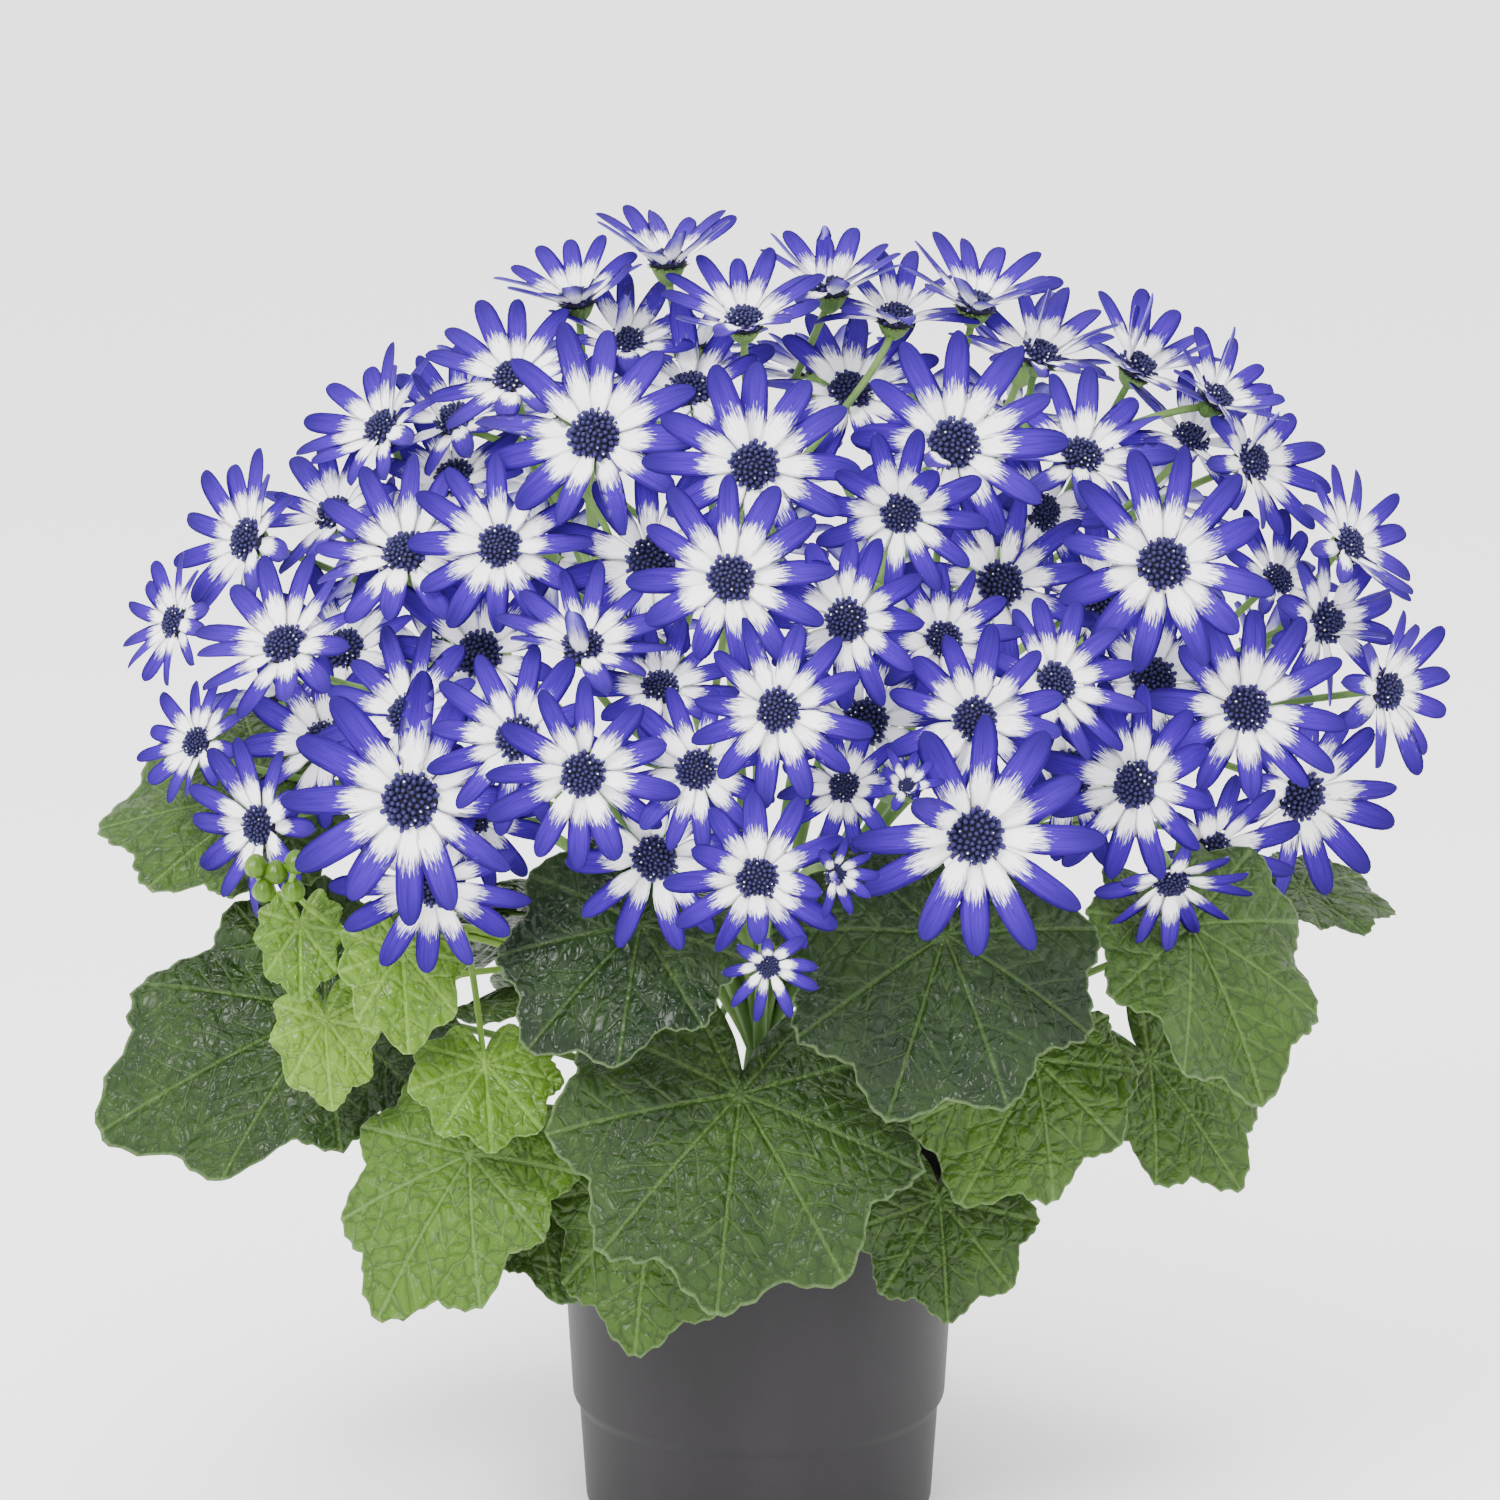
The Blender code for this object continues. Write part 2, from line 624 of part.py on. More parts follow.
hole = TRUNK_RADIUS + GAP
soil_profile = [(0.0, POT_FLOOR + GAP)]
for level in (POT_FLOOR + GAP, POT_BAND_FOOT - 0.003, SOIL_TOP - 0.001):
    soil_profile.append((inner_wall(level) * math.cos(math.pi / POT_STEPS) - 0.0005, level))
soil_profile.append((inner_wall(SOIL_TOP) - 0.006, SOIL_TOP))
soil_profile.append((0.028, SOIL_TOP + 0.0018))
soil_profile.append((hole, SOIL_TOP + 0.0008))
soil_profile.append((hole, SOIL_TOP - SOIL_HOLE_DEPTH))
soil_profile.append((0.0, SOIL_TOP - SOIL_HOLE_DEPTH))
soil = ring_solid("soil", soil_profile, 24, soil_dark)

# Leaves: each is swung about its stalk end until it is clear of the others.
obstacles = []
eye_up = np.array([0.0, math.sin(VIEW_TILT), math.cos(VIEW_TILT)])
eye_back = np.array([0.0, -math.cos(VIEW_TILT), math.sin(VIEW_TILT)])
guard_rings = (
    (POT_BASE_RADIUS + 0.001, 0.0),
    (POT_BAND_FOOT_RADIUS + 0.001, POT_BAND_FOOT),
    (POT_RIM_RADIUS + 0.001, POT_HEIGHT + 0.001),
    (POT_RIM_RADIUS - POT_WALL - 0.001, POT_HEIGHT + 0.001),
    (POT_RIM_RADIUS - POT_WALL - 0.001, SOIL_TOP + 0.001),
    (0.002, SOIL_TOP + 0.002),
)
guard = tube([(0, 0, z) for _, z in guard_rings], [r for r, _ in guard_rings], 24)
turns = 2 * math.pi * np.arange(24) / 24
guard_points = [(r * math.cos(t), r * math.sin(t), z) for r, z in guard_rings for t in turns]
obstacles.append(tree_of((guard_points, guard[1][: 2 * 24 * (len(guard_rings) - 1)])))
trunk = tube(
    [(0, 0, SOIL_TOP - SOIL_HOLE_DEPTH + GAP), (0, 0, TRUNK_TOP - 0.012), (0, 0, TRUNK_TOP)],
    (TRUNK_RADIUS, TRUNK_RADIUS, TRUNK_RADIUS * 0.7),
    16,
)
obstacles.append(tree_of(trunk))


def is_clear(shape, trees):
    tree = tree_of(shape)
    return not any(tree.overlap(other) for other in trees)


swings = [(0, 0)]
for size in (4, 8, 12, 16, 21, 26, 32):
    swings += [(size, 0), (-size, 0), (size, size), (-size, -size), (size, -size), (0, size)]
    swings += [(0, -size)]

leaf_jobs = []
for k, (base, tip, wide, facing, droop) in enumerate(LEAVES):
    leaf_jobs.append(Leaf(seen_at(*base), seen_at(*tip), wide, facing, droop, 40 + k))
for k in range(BACK_LEAVES):
    rng = random.Random(900 + k)
    angle = math.radians(22 + 136 * k / (BACK_LEAVES - 1) + rng.uniform(-4, 4))
    out = np.array([math.cos(angle), math.sin(angle), 0.0])
    high = 0.158 + 0.020 * (k % 2) + rng.uniform(-0.004, 0.004)
    base = out * (0.098 + 0.012 * (k % 2)) + np.array([0, 0, high])
    tip = out * rng.uniform(0.166, 0.190) + np.array([0, 0, high - rng.uniform(0.030, 0.055)])
    facing = out * 0.6 + np.array([0, 0, 0.8])
    leaf_jobs.append(Leaf(base, tip, rng.uniform(0.040, 0.052), facing, 0.16, 60 + k))

rank = np.argsort(np.argsort([leaf.base[2] for leaf in leaf_jobs]))
asides = [0.0]
for turn_off in (14, 28, 42, 56, 75):
    asides += [math.radians(turn_off), -math.radians(turn_off)]
rises = (0.0, 0.004, -0.004, 0.008, -0.008, 0.012, -0.012, 0.018, -0.018)
leaf_shapes = []
for k, leaf in enumerate(leaf_jobs):
    low = SOIL_TOP + 0.0085 + 0.0018 * rank[k]
    found = None
    for shift in (0.0, 0.006, -0.006, 0.012, -0.012, 0.02):
        for pitch, roll in swings:
            trial = leaf.turned(math.radians(pitch), math.radians(roll))
            trial.base = trial.base + shift * trial.facing
            if not is_clear(trial.shape(LEAF_THICK, CLEAR), obstacles):
                continue
            for rise in rises:
                high = min(max(low + rise, SOIL_TOP + 0.006), TRUNK_TOP - 0.013)
                stalks = [petiole(trial, high, aside) for aside in asides]
                stalks = [s for s in stalks if is_clear(s, obstacles)]
                if stalks:
                    found = trial
                    break
            if found:
                break
        if found:
            break
    if found is None:
        print("leaf", k + 1, "is not clear of the others")
        found = leaf
        stalks = [petiole(found, low, 0.0)]
    leaf_shapes.append([found.shape(), stalks[0]])
    obstacles.append(tree_of(found.shape()))
    obstacles.append(tree_of(stalks[0]))

# Side shoot: a thin stalk with small bright leaves and a knot of round buds.
fork = seen_at(*SHOOT_FORK)
shoot_angle = math.atan2(fork[1], fork[0])
shoot_path = None
for high in (0.1500, 0.1520, 0.1480, 0.1450, 0.1420, 0.1380, 0.1340, 0.1300, 0.1260):
    for aside in asides:
        out = np.array([math.cos(shoot_angle + aside), math.sin(shoot_angle + aside), 0.0])
        start = out * (TRUNK_RADIUS + 0.0002) + np.array([0, 0, high])
        root = start + out * 0.004
        lift = root + out * 0.025 + np.array([0, 0, 0.024])
        curve = bezier(root, lift, fork + np.array([0.03, 0.02, 0.012]), fork, 5)
        path = np.concatenate([[start], curve])
        if shoot_path is None and is_clear(tube(path, np.linspace(0.0020, 0.0015, 6), 5), obstacles):
            shoot_path = path
if shoot_path is None:
    print("the side shoot is not clear")
    shoot_path = path
shoot_shapes = [tube(shoot_path, np.linspace(0.0016, 0.0013, 6), 5)]
shoot_trees = []
for k, (base, tip, wide, facing, droop) in enumerate(SHOOT_LEAVES):
    leaf = Leaf(seen_at(*base), seen_at(*tip), wide, facing, droop, 80 + k)
    start = shoot_path[3 + k % 2]
    found = leaf
    for pitch, roll in swings:
        trial = leaf.turned(math.radians(pitch), math.radians(roll))
        end = trial.base - trial.facing * 0.0005 + trial.ahead * 0.002
        middle = (start + end) / 2 + np.array([0, 0, 0.008])
        stalk = tube(bezier(start, middle, middle, end, 4), (0.0012, 0.0012, 0.0011, 0.0010), 4)
        clear = is_clear(trial.shape(LEAF_THICK, CLEAR), obstacles + shoot_trees)
        if clear and is_clear(stalk, obstacles + shoot_trees):
            found = trial
            break
    end = found.base - found.facing * 0.0005 + found.ahead * 0.002
    middle = (start + end) / 2 + np.array([0, 0, 0.008])
    stalk = tube(bezier(start, middle, middle, end, 4), (0.0012, 0.0012, 0.0011, 0.0010), 4)
    shoot_shapes += [found.shape(), stalk]
    shoot_trees.append(tree_of(found.shape()))
buds = np.array([seen_at(across, down, -0.118) for across, down in SHOOT_BUDS])
rod = np.concatenate([[fork, (fork + buds[0]) / 2 + np.array([0, 0, -0.004])], buds])
shoot_shapes.append(tube(rod, (0.0011,) * len(rod), 4))
shoot_shapes += [ball(bud, BUD_RADIUS) for bud in buds]
for shape in shoot_shapes:
    obstacles.append(tree_of(shape))

# Blooms: the front ones where the plant shows them, the back ones by rule.
blooms = []
step_layer = LAYER_STEP
for k, (across, down, width, right, up, layer) in enumerate(FRONT_BLOOMS):
    place = on_dome(across, down, 0.010 + step_layer * layer)
    facing = eye_back + right * np.array([1.0, 0, 0]) + up * eye_up
    near = VIEW_DISTANCE / (VIEW_DISTANCE + (eye_back @ (np.array(VIEW_MIDDLE) - place)))
    radius = 0.5 * width * VIEW_STEP / near
    cup = CUP + TOP_CUP * min(max(up - 0.6, 0.0), 1.0)
    blooms.append(Bloom(place, facing, radius, FRONT_PETALS, cup, 100 + k))
for k, (across, down, width, right, up, layer, cup) in enumerate(YOUNG_BLOOMS):
    place = on_dome(across, down, 0.004 + step_layer * layer)
    facing = eye_back + right * np.array([1.0, 0, 0]) + up * eye_up
    blooms.append(Bloom(place, facing, 0.5 * width * VIEW_STEP, 8, math.radians(cup), 200 + k))
for k, (across, down, width, right, up, layer) in enumerate(INNER_BLOOMS):
    place = on_dome(across, down, 0.010 + step_layer * layer)
    facing = eye_back + right * np.array([1.0, 0, 0]) + up * eye_up
    blooms.append(Bloom(place, facing, 0.5 * width * VIEW_STEP, INNER_PETALS, CUP, 400 + k))
back = 0
for ring_rise, ring_start, ring_step, ring_blooms in BACK_RINGS:
    for spot in range(ring_blooms):
        rng = random.Random(300 + back)
        rise = math.radians(ring_rise + rng.uniform(-4, 4))
        angle = math.radians(ring_start + ring_step * spot)
        level = math.cos(rise)
        out = np.array([math.cos(angle) * level, math.sin(angle) * level, math.sin(rise)])
        inner = 0.010 + step_layer * ((back * 2) % 3)
        size = np.array([DOME_WIDE - inner, DOME_WIDE - inner, DOME_TALL - inner])
        place = np.array([0, 0, DOME_MIDDLE]) + out * size
        sway = np.array([rng.gauss(0, 1) for _ in range(3)])
        facing = unit(out / size) + np.array([0, 0, 0.25]) + 0.12 * sway
        blooms.append(Bloom(place, facing, rng.uniform(0.031, 0.037), BACK_PETALS, CUP, 300 + back))
        back += 1

# A bloom whose middle would enter another's moves along the line of sight.
middles = []
for i, bloom in enumerate(blooms):
    home = bloom.place
    away = eye_back if i < len(blooms) - BACK_BLOOMS else unit(home - np.array([0, 0, DOME_MIDDLE]))
    for offset in (0, -6, 6, -12, -18, 11, -24, 16, -30, -36, -42):
        bloom.place = home + away * offset * 0.001
        if is_clear(bloom.core(0.0012), middles + obstacles):
            break
    else:
        print("middle of bloom", i, "is not clear")
    middles.append(tree_of(bloom.core()))

# Sprays: neighbouring blooms share a stalk. The heads are picked one after
# another, each as far as can be from those before it.
places = np.array([b.place for b in blooms])
heads = [0]
while len(heads) < SPRAYS:
    away = np.min([np.linalg.norm(places - places[h], axis=1) for h in heads], axis=0)
    heads.append(int(np.argmax(away)))
spray_of = [int(np.argmin([np.linalg.norm(p - places[h]) for h in heads])) for p in places]
heart = np.array([0.0, 0.0, DOME_MIDDLE - 0.045])
hubs = []
for s in range(SPRAYS):
    own = places[[i for i in range(len(blooms)) if spray_of[i] == s]]
    hubs.append(heart + (own.mean(axis=0) - heart) * HUB_SHARE)
hubs = np.array(hubs)

# Stem: an upright trunk in the compost whose branches reach the sprays.
stem_shapes = [trunk]
branch_trees = []
for s in range(SPRAYS):
    top = np.array([0.0, 0.0, TRUNK_TOP - 0.010])
    way = unit(hubs[s] - heart)
    end = hubs[s] - way * (HUB_RADIUS * 1.15 + GAP)
    bend = end - way * 0.35 * np.linalg.norm(end - top)
    path = bezier(top, top + np.array([0, 0, 0.025]), bend, end, 4)
    rod = tube(path, np.linspace(BRANCH_RADIUS * 1.25, BRANCH_RADIUS * 0.9, 4), 4)
    stem_shapes.append(rod)
    branch_trees.append(tree_of(rod))

# Pedicels: each bloom's own stalk, bent clear of what other sprays hold.
pedicels = []
guards = [(spray_of[i], tree_of(b.core())) for i, b in enumerate(blooms)]
placed = []
for i, bloom in enumerate(blooms):
    hub = hubs[spray_of[i]]
    end = bloom.place - bloom.facing * (CALYX_DEPTH * 0.55)
    long = np.linalg.norm(end - hub)
    others = [t for k, (s, t) in enumerate(guards) if k != i]
    others += [t for s, t in placed if s != spray_of[i]]
    others += obstacles + [t for s, t in enumerate(branch_trees) if s != spray_of[i]]
    side, other = side_frame(end - hub)
    best = None
    for push in (0.0, 0.006, 0.012, 0.018, 0.026, 0.034, 0.044):
        for turn_k in range(12 if push else 1):
            angle = 2 * math.pi * turn_k / 12
            aside = push * (math.cos(angle) * side + math.sin(angle) * other)
            first = hub + unit(hub - heart) * 0.20 * long + aside
            second = end - bloom.facing * 0.38 * long + aside
            start = hub + unit(first + 0.5 * second - 1.5 * hub) * HUB_RADIUS * 0.55
            path = bezier(start, first, second, end, 4)
            rod = tube(path, (PEDICEL_RADIUS,) * 4, 4)
            wide = tube(path, (PEDICEL_RADIUS + CLEAR,) * 4, 4)
            if best is None:
                best = rod
            if is_clear(wide, others):
                best = rod
                break
        else:
            continue
        break
    else:
        print("stalk of bloom", i, "is not clear")
    pedicels.append(best)
    placed.append((spray_of[i], tree_of(best)))
hub_knobs = [knob(h, HUB_RADIUS * 1.15) for h in hubs]

# Petals: each keeps its own lift unless it would cross a neighbour, and then
# rises, dips or shortens until it is clear.
fixed = guards + placed + [(s, tree_of(k)) for s, k in enumerate(hub_knobs)]
tries = [(0, 1.0)]
for length in (1.0, 0.88, 0.76, 0.64, 0.56):
    for swing in (6, -6, 12, -12, 18, -18, 25, -25, 32, 40, -33, 50, 60, 70):
        tries.append((swing, length))
done = []
unclear = 0
for i, bloom in enumerate(blooms):
    near = [t for k, (_, t) in enumerate(fixed) if k not in (i, len(blooms) + i)]
    near += [t for t, p, r in done if np.linalg.norm(p - bloom.place) < r + bloom.radius + 0.004]
    near += obstacles + branch_trees
    for j in range(bloom.count):
        for swing, length in tries:
            lift = bloom.lifts[j] + math.radians(swing)
            long = bloom.lengths[j] * length
            if is_clear(bloom.petal_test(j, lift, long), near):
                bloom.lifts[j] = lift
                bloom.lengths[j] = long
                break
        else:
            unclear += 1
            bloom.lengths[j] *= 0.54
    done.append((tree_of(bloom.shape()), bloom.place, bloom.radius))
print("petals not clear:", unclear)

stems = fuse("stems", stem_shapes, stem_green)
for k, shapes in enumerate(leaf_shapes):
    fuse(f"leaf_{k + 1:02d}", shapes, leaf_green)
fuse("side_shoot", shoot_shapes, young_green)
for s in range(SPRAYS):
    shapes = [hub_knobs[s]]
    for i, bloom in enumerate(blooms):
        if spray_of[i] == s:
            shapes += [pedicels[i], bloom.shape()]
    fuse(f"flower_spray_{s + 1:02d}", shapes, petal_violet)
bpy.data.collections.remove(cutters)
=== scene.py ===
"""The looks of a potted cineraria: a matte nursery pot, crumbly compost,
puckered lobed leaves and a dome of two-tone blooms. Metres, Z up, the front
of the plant faces -Y and the pot stands on Z = 0."""

import math
import random

import bpy
import numpy as np
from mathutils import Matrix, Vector
from mathutils.bvhtree import BVHTree


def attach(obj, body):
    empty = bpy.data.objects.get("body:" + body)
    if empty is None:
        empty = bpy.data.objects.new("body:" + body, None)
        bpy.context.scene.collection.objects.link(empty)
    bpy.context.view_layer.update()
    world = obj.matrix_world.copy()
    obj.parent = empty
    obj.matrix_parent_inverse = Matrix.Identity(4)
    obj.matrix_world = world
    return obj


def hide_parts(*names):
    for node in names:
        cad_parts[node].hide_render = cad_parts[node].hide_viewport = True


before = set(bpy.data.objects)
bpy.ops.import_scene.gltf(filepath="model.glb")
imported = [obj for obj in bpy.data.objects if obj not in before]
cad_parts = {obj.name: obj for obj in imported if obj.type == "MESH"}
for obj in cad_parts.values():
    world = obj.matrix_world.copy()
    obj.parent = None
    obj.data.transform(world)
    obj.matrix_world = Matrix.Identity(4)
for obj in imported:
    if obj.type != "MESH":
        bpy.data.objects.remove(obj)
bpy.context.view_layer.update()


# Pot: a matte charcoal nursery pot of moulded plastic, turned about its axis.
# Its deep upper band ends in a small step, and the compost hides its inside.
POT_HEIGHT = 0.120
POT_RIM_RADIUS = 0.0682
POT_BAND_FOOT_RADIUS = 0.0636
POT_BAND_FOOT = 0.0375
POT_STEP_RADIUS = 0.0614
POT_BASE_RADIUS = 0.0592
POT_WALL = 0.0020
POT_FLOOR = 0.0035
POT_GREY = (0.014, 0.0125, 0.014)


class Wire:
    """A number on a material's wire. Arithmetic on it adds Math nodes."""

    def __init__(self, finish, socket):
        self.finish = finish
        self.socket = socket

    def step(self, operation, *values):
        sockets = {k: getattr(v, "socket", v) for k, v in enumerate([self, *values])}
        made = self.finish.node("ShaderNodeMath", {"operation": operation}, sockets)
        return Wire(self.finish, made.outputs[0])

    def __add__(self, other):
        return self.step("ADD", other)

    __radd__ = __add__

    def __mul__(self, other):
        return self.step("MULTIPLY", other)

    __rmul__ = __mul__

    def __sub__(self, other):
        return self.step("SUBTRACT", other)

    def __rsub__(self, other):
        return (self * -1.0) + other

    def __truediv__(self, other):
        return self.step("DIVIDE", other)

    def power(self, other):
        return self.step("POWER", other)

    def size(self):
        return self.step("ABSOLUTE")

    def least(self, other):
        return self.step("MINIMUM", other)

    def ramp(self, low, high):
        """0 at low rising smoothly to 1 at high, or falling if low is above."""
        if low > high:
            return 1.0 - self.ramp(high, low)
        settings = {"interpolation_type": "SMOOTHSTEP"}
        sockets = {"Value": self.socket, "From Min": low, "From Max": high}
        made = self.finish.node("ShaderNodeMapRange", settings, sockets)
        return Wire(self.finish, made.outputs[0])


class Finish:
    """One Principled material and the nodes that drive it."""

    def __init__(self, name, **constants):
        self.material = bpy.data.materials.new(name)
        self.material.use_nodes = True
        self.tree = self.material.node_tree
        self.shader = self.tree.nodes["Principled BSDF"]
        for key, value in constants.items():
            self.shader.inputs[key.replace("_", " ")].default_value = value

    def node(self, kind, settings=None, sockets=None):
        """A node of this kind, its settings made first, then its sockets."""
        made = self.tree.nodes.new(kind)
        for key, value in (settings or {}).items():
            setattr(made, key, value)
        for key, value in (sockets or {}).items():
            if isinstance(value, Wire):
                value = value.socket
            if isinstance(value, bpy.types.NodeSocket):
                self.tree.links.new(value, made.inputs[key])
            else:
                made.inputs[key].default_value = value
        return made

    def places(self, scale=(1, 1, 1)):
        """Object coordinates, stretched by scale."""
        spots = self.node("ShaderNodeTexCoord").outputs["Object"]
        sockets = {"Vector": spots, "Scale": scale}
        return self.node("ShaderNodeMapping", None, sockets).outputs[0]

    def noise(self, scale, detail=3.0, where=None, rough=0.5):
        sockets = {"Scale": scale, "Detail": detail, "Roughness": rough}
        sockets["Vector"] = self.places() if where is None else where
        return Wire(self, self.node("ShaderNodeTexNoise", None, sockets).outputs["Fac"])

    def cells(self, scale, feature, where=None, output="Distance"):
        sockets = {"Scale": scale, "Vector": self.places() if where is None else where}
        made = self.node("ShaderNodeTexVoronoi", {"feature": feature}, sockets)
        return Wire(self, made.outputs[output])

    def marks(self, name):
        """The three numbers of a vector attribute, as wires."""
        made = self.node("ShaderNodeAttribute", {"attribute_name": name})
        split = self.node("ShaderNodeSeparateXYZ", None, {0: made.outputs["Vector"]})
        return [Wire(self, socket) for socket in split.outputs]

    def together(self, x, y, z=0.0):
        return self.node("ShaderNodeCombineXYZ", None, {0: x, 1: y, 2: z}).outputs[0]

    def mix(self, share, first, second, way="MIX"):
        """Colour first, giving way to second as share goes from 0 to 1."""
        first = (*first, 1.0) if isinstance(first, tuple) else first
        second = (*second, 1.0) if isinstance(second, tuple) else second
        settings = {"data_type": "RGBA", "blend_type": way, "clamp_factor": True}
        sockets = {0: share, 6: first, 7: second}
        return self.node("ShaderNodeMix", settings, sockets).outputs[2]

    def paint(self, color):
        self.tree.links.new(color, self.shader.inputs["Base Color"])

    def drive(self, name, wire):
        self.tree.links.new(wire.socket, self.shader.inputs[name])

    def bump(self, height, depth, strength=1.0):
        sockets = {"Height": height, "Distance": depth, "Strength": strength}
        made = self.node("ShaderNodeBump", None, sockets)
        self.tree.links.new(made.outputs[0], self.shader.inputs["Normal"])


def make_piece(name, points, faces, finish, nodes, marks=None, smooth=True):
    """A mesh piece from points and face arrays, riding on the root body.
    faces is a list of whole-number arrays, one row a face; marks holds
    vector attributes by name."""
    data = bpy.data.meshes.new(name)
    data.vertices.add(len(points))
    data.vertices.foreach_set("co", np.ascontiguousarray(points, np.float32).ravel())
    faces = [np.asarray(f, np.int32) for f in faces if len(f)]
    sizes = np.concatenate([np.full(len(f), f.shape[1], np.int32) for f in faces])
    data.loops.add(int(sizes.sum()))
    data.loops.foreach_set("vertex_index", np.concatenate([f.ravel() for f in faces]))
    data.polygons.add(len(sizes))
    starts = np.concatenate([[0], np.cumsum(sizes)[:-1]]).astype(np.int32)
    data.polygons.foreach_set("loop_start", starts)
    data.polygons.foreach_set("use_smooth", np.full(len(sizes), smooth))
    for key, values in (marks or {}).items():
        layer = data.attributes.new(key, "FLOAT_VECTOR", "POINT")
        layer.data.foreach_set("vector", np.ascontiguousarray(values, np.float32).ravel())
    data.update(calc_edges=True)
    data.validate()
    piece = bpy.data.objects.new(name, data)
    piece.data.materials.append(finish.material)
    bpy.context.scene.collection.objects.link(piece)
    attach(piece, "root")
    if nodes:
        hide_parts(*nodes)
    return piece


def ring_faces(rings, sides, shift=0):
    """Quads between rings of points that run round a tube or a turned shape."""
    a = np.arange(rings - 1)[:, None] * sides + np.arange(sides)[None, :]
    b = np.arange(rings - 1)[:, None] * sides + (np.arange(sides)[None, :] + 1) % sides
    return np.stack([a, b, b + sides, a + sides], -1).reshape(-1, 4) + shift


def turned(profile, sides):
    """A turned shape: each (radius, height) of the profile, outer side from
    top to bottom, carried round Z. The ends meet the axis in fans."""
    profile = np.asarray(profile, float)
    angles = 2 * math.pi * np.arange(sides) / sides
    inner = profile[1:-1]
    x = inner[:, :1] * np.cos(angles)
    y = inner[:, :1] * np.sin(angles)
    z = np.repeat(inner[:, 1:], sides, axis=1)
    points = np.stack([x, y, z], -1).reshape(-1, 3)
    ends = np.array([[0, 0, profile[0, 1]], [0, 0, profile[-1, 1]]])
    k = np.arange(sides)
    after = (k + 1) % sides
    last = (len(inner) - 1) * sides
    count = len(points)
    quads = ring_faces(len(inner), sides)[:, ::-1]
    top = np.stack([np.full(sides, count), k, after], -1)
    low = np.stack([np.full(sides, count + 1), last + after, last + k], -1)
    return np.concatenate([points, ends]), [quads, top, low]


def rounded(profile, radius, steps=4):
    """The profile with each inner corner cut by a small arc: with t from 0 to
    1, (1 - t) squared of its start, 2 t (1 - t) of the corner and t squared
    of its end."""
    profile = np.asarray(profile, float)
    out = [profile[0]]
    for before, here, after in zip(profile[:-2], profile[1:-1], profile[2:]):
        a = before - here
        b = after - here
        near = min(radius, 0.45 * np.linalg.norm(a), 0.45 * np.linalg.norm(b))
        start = here + a / np.linalg.norm(a) * near
        end = here + b / np.linalg.norm(b) * near
        t = np.linspace(0, 1, steps)[:, None]
        out += list((1 - t) ** 2 * start + 2 * t * (1 - t) * here + t * t * end)
    out.append(profile[-1])
    return np.array(out)


pot_profile = (
    (0.0, POT_FLOOR),
    (POT_BASE_RADIUS - 0.0045, POT_FLOOR),
    (POT_STEP_RADIUS - POT_WALL, POT_BAND_FOOT - 0.003),
    (POT_RIM_RADIUS - POT_WALL - 0.0002, POT_HEIGHT),
    (POT_RIM_RADIUS, POT_HEIGHT),
    (POT_BAND_FOOT_RADIUS, POT_BAND_FOOT),
    (POT_STEP_RADIUS, POT_BAND_FOOT - 0.0036),
    (POT_BASE_RADIUS, 0.0),
    (0.0, 0.0),
)
plastic = Finish("pot_plastic", Roughness=0.5, Specular_IOR_Level=0.22)
scuffs = plastic.noise(38.0, 4.0, plastic.places((1, 1, 0.3)))
grain = plastic.noise(900.0, 2.0)
plastic.paint(plastic.mix(scuffs.ramp(0.35, 0.75), POT_GREY, tuple(c * 1.35 for c in POT_GREY)))
plastic.drive("Roughness", 0.42 + scuffs * 0.18)
plastic.bump(grain, 0.00012, 0.35)
points, faces = turned(rounded(pot_profile, 0.0011), 144)
make_piece("pot_shell", points, faces, plastic, ["pot"])


# Compost: dark peat with crumbs and a few pale grains, level just under the
# rim. It is one closed body here, with a hole that the stem stands in.
SOIL_TOP = 0.107
SOIL_HOLE_DEPTH = 0.026
SOIL_HOLE_RADIUS = 0.0066
SOIL_FOOT_SHARE = 0.83
SOIL_SIDES = 150
TRUNK_RADIUS = 0.0062
TRUNK_TOP = 0.158
GAP = 0.0003


def compost_height(x, y):
    """Level of the compost: a low heap towards the stem, with crumbs made of
    three crossed waves of falling length."""
    out = np.hypot(x, y)
    high = SOIL_TOP + 0.0018 * np.exp(-((out / 0.03) ** 2))
    for size, long, turn in ((0.0009, 0.017, 0.4), (0.0007, 0.0083, 1.9), (0.0005, 0.0043, 3.1)):
        a = x * math.cos(turn) + y * math.sin(turn)
        b = y * math.cos(turn) - x * math.sin(turn)
        high = high + size * np.sin(a / long * 6.28 + turn) * np.cos(b / long * 5.3 + 2 * turn)
    return high


inner_radius = POT_RIM_RADIUS - POT_WALL - 0.0016
rings = np.concatenate([[SOIL_HOLE_RADIUS], np.linspace(0.008, inner_radius, 44)])
angles = 2 * math.pi * np.arange(SOIL_SIDES) / SOIL_SIDES
x = rings[:, None] * np.cos(angles)
y = rings[:, None] * np.sin(angles)
top = np.stack([x, y, compost_height(x, y)], -1).reshape(-1, 3)
foot_level = np.full(SOIL_SIDES, POT_FLOOR + GAP)
side_low = np.stack([x[-1] * SOIL_FOOT_SHARE, y[-1] * SOIL_FOOT_SHARE, foot_level], -1)
hole_low = np.stack([x[0], y[0], np.full(SOIL_SIDES, SOIL_TOP - SOIL_HOLE_DEPTH)], -1)
ends = np.array([[0, 0, SOIL_TOP - SOIL_HOLE_DEPTH], [0, 0, POT_FLOOR + GAP]])
points = np.concatenate([hole_low, top, side_low, ends])
quads = ring_faces(len(rings) + 2, SOIL_SIDES)[:, ::-1]
k = np.arange(SOIL_SIDES)
after = (k + 1) % SOIL_SIDES
count = len(points)
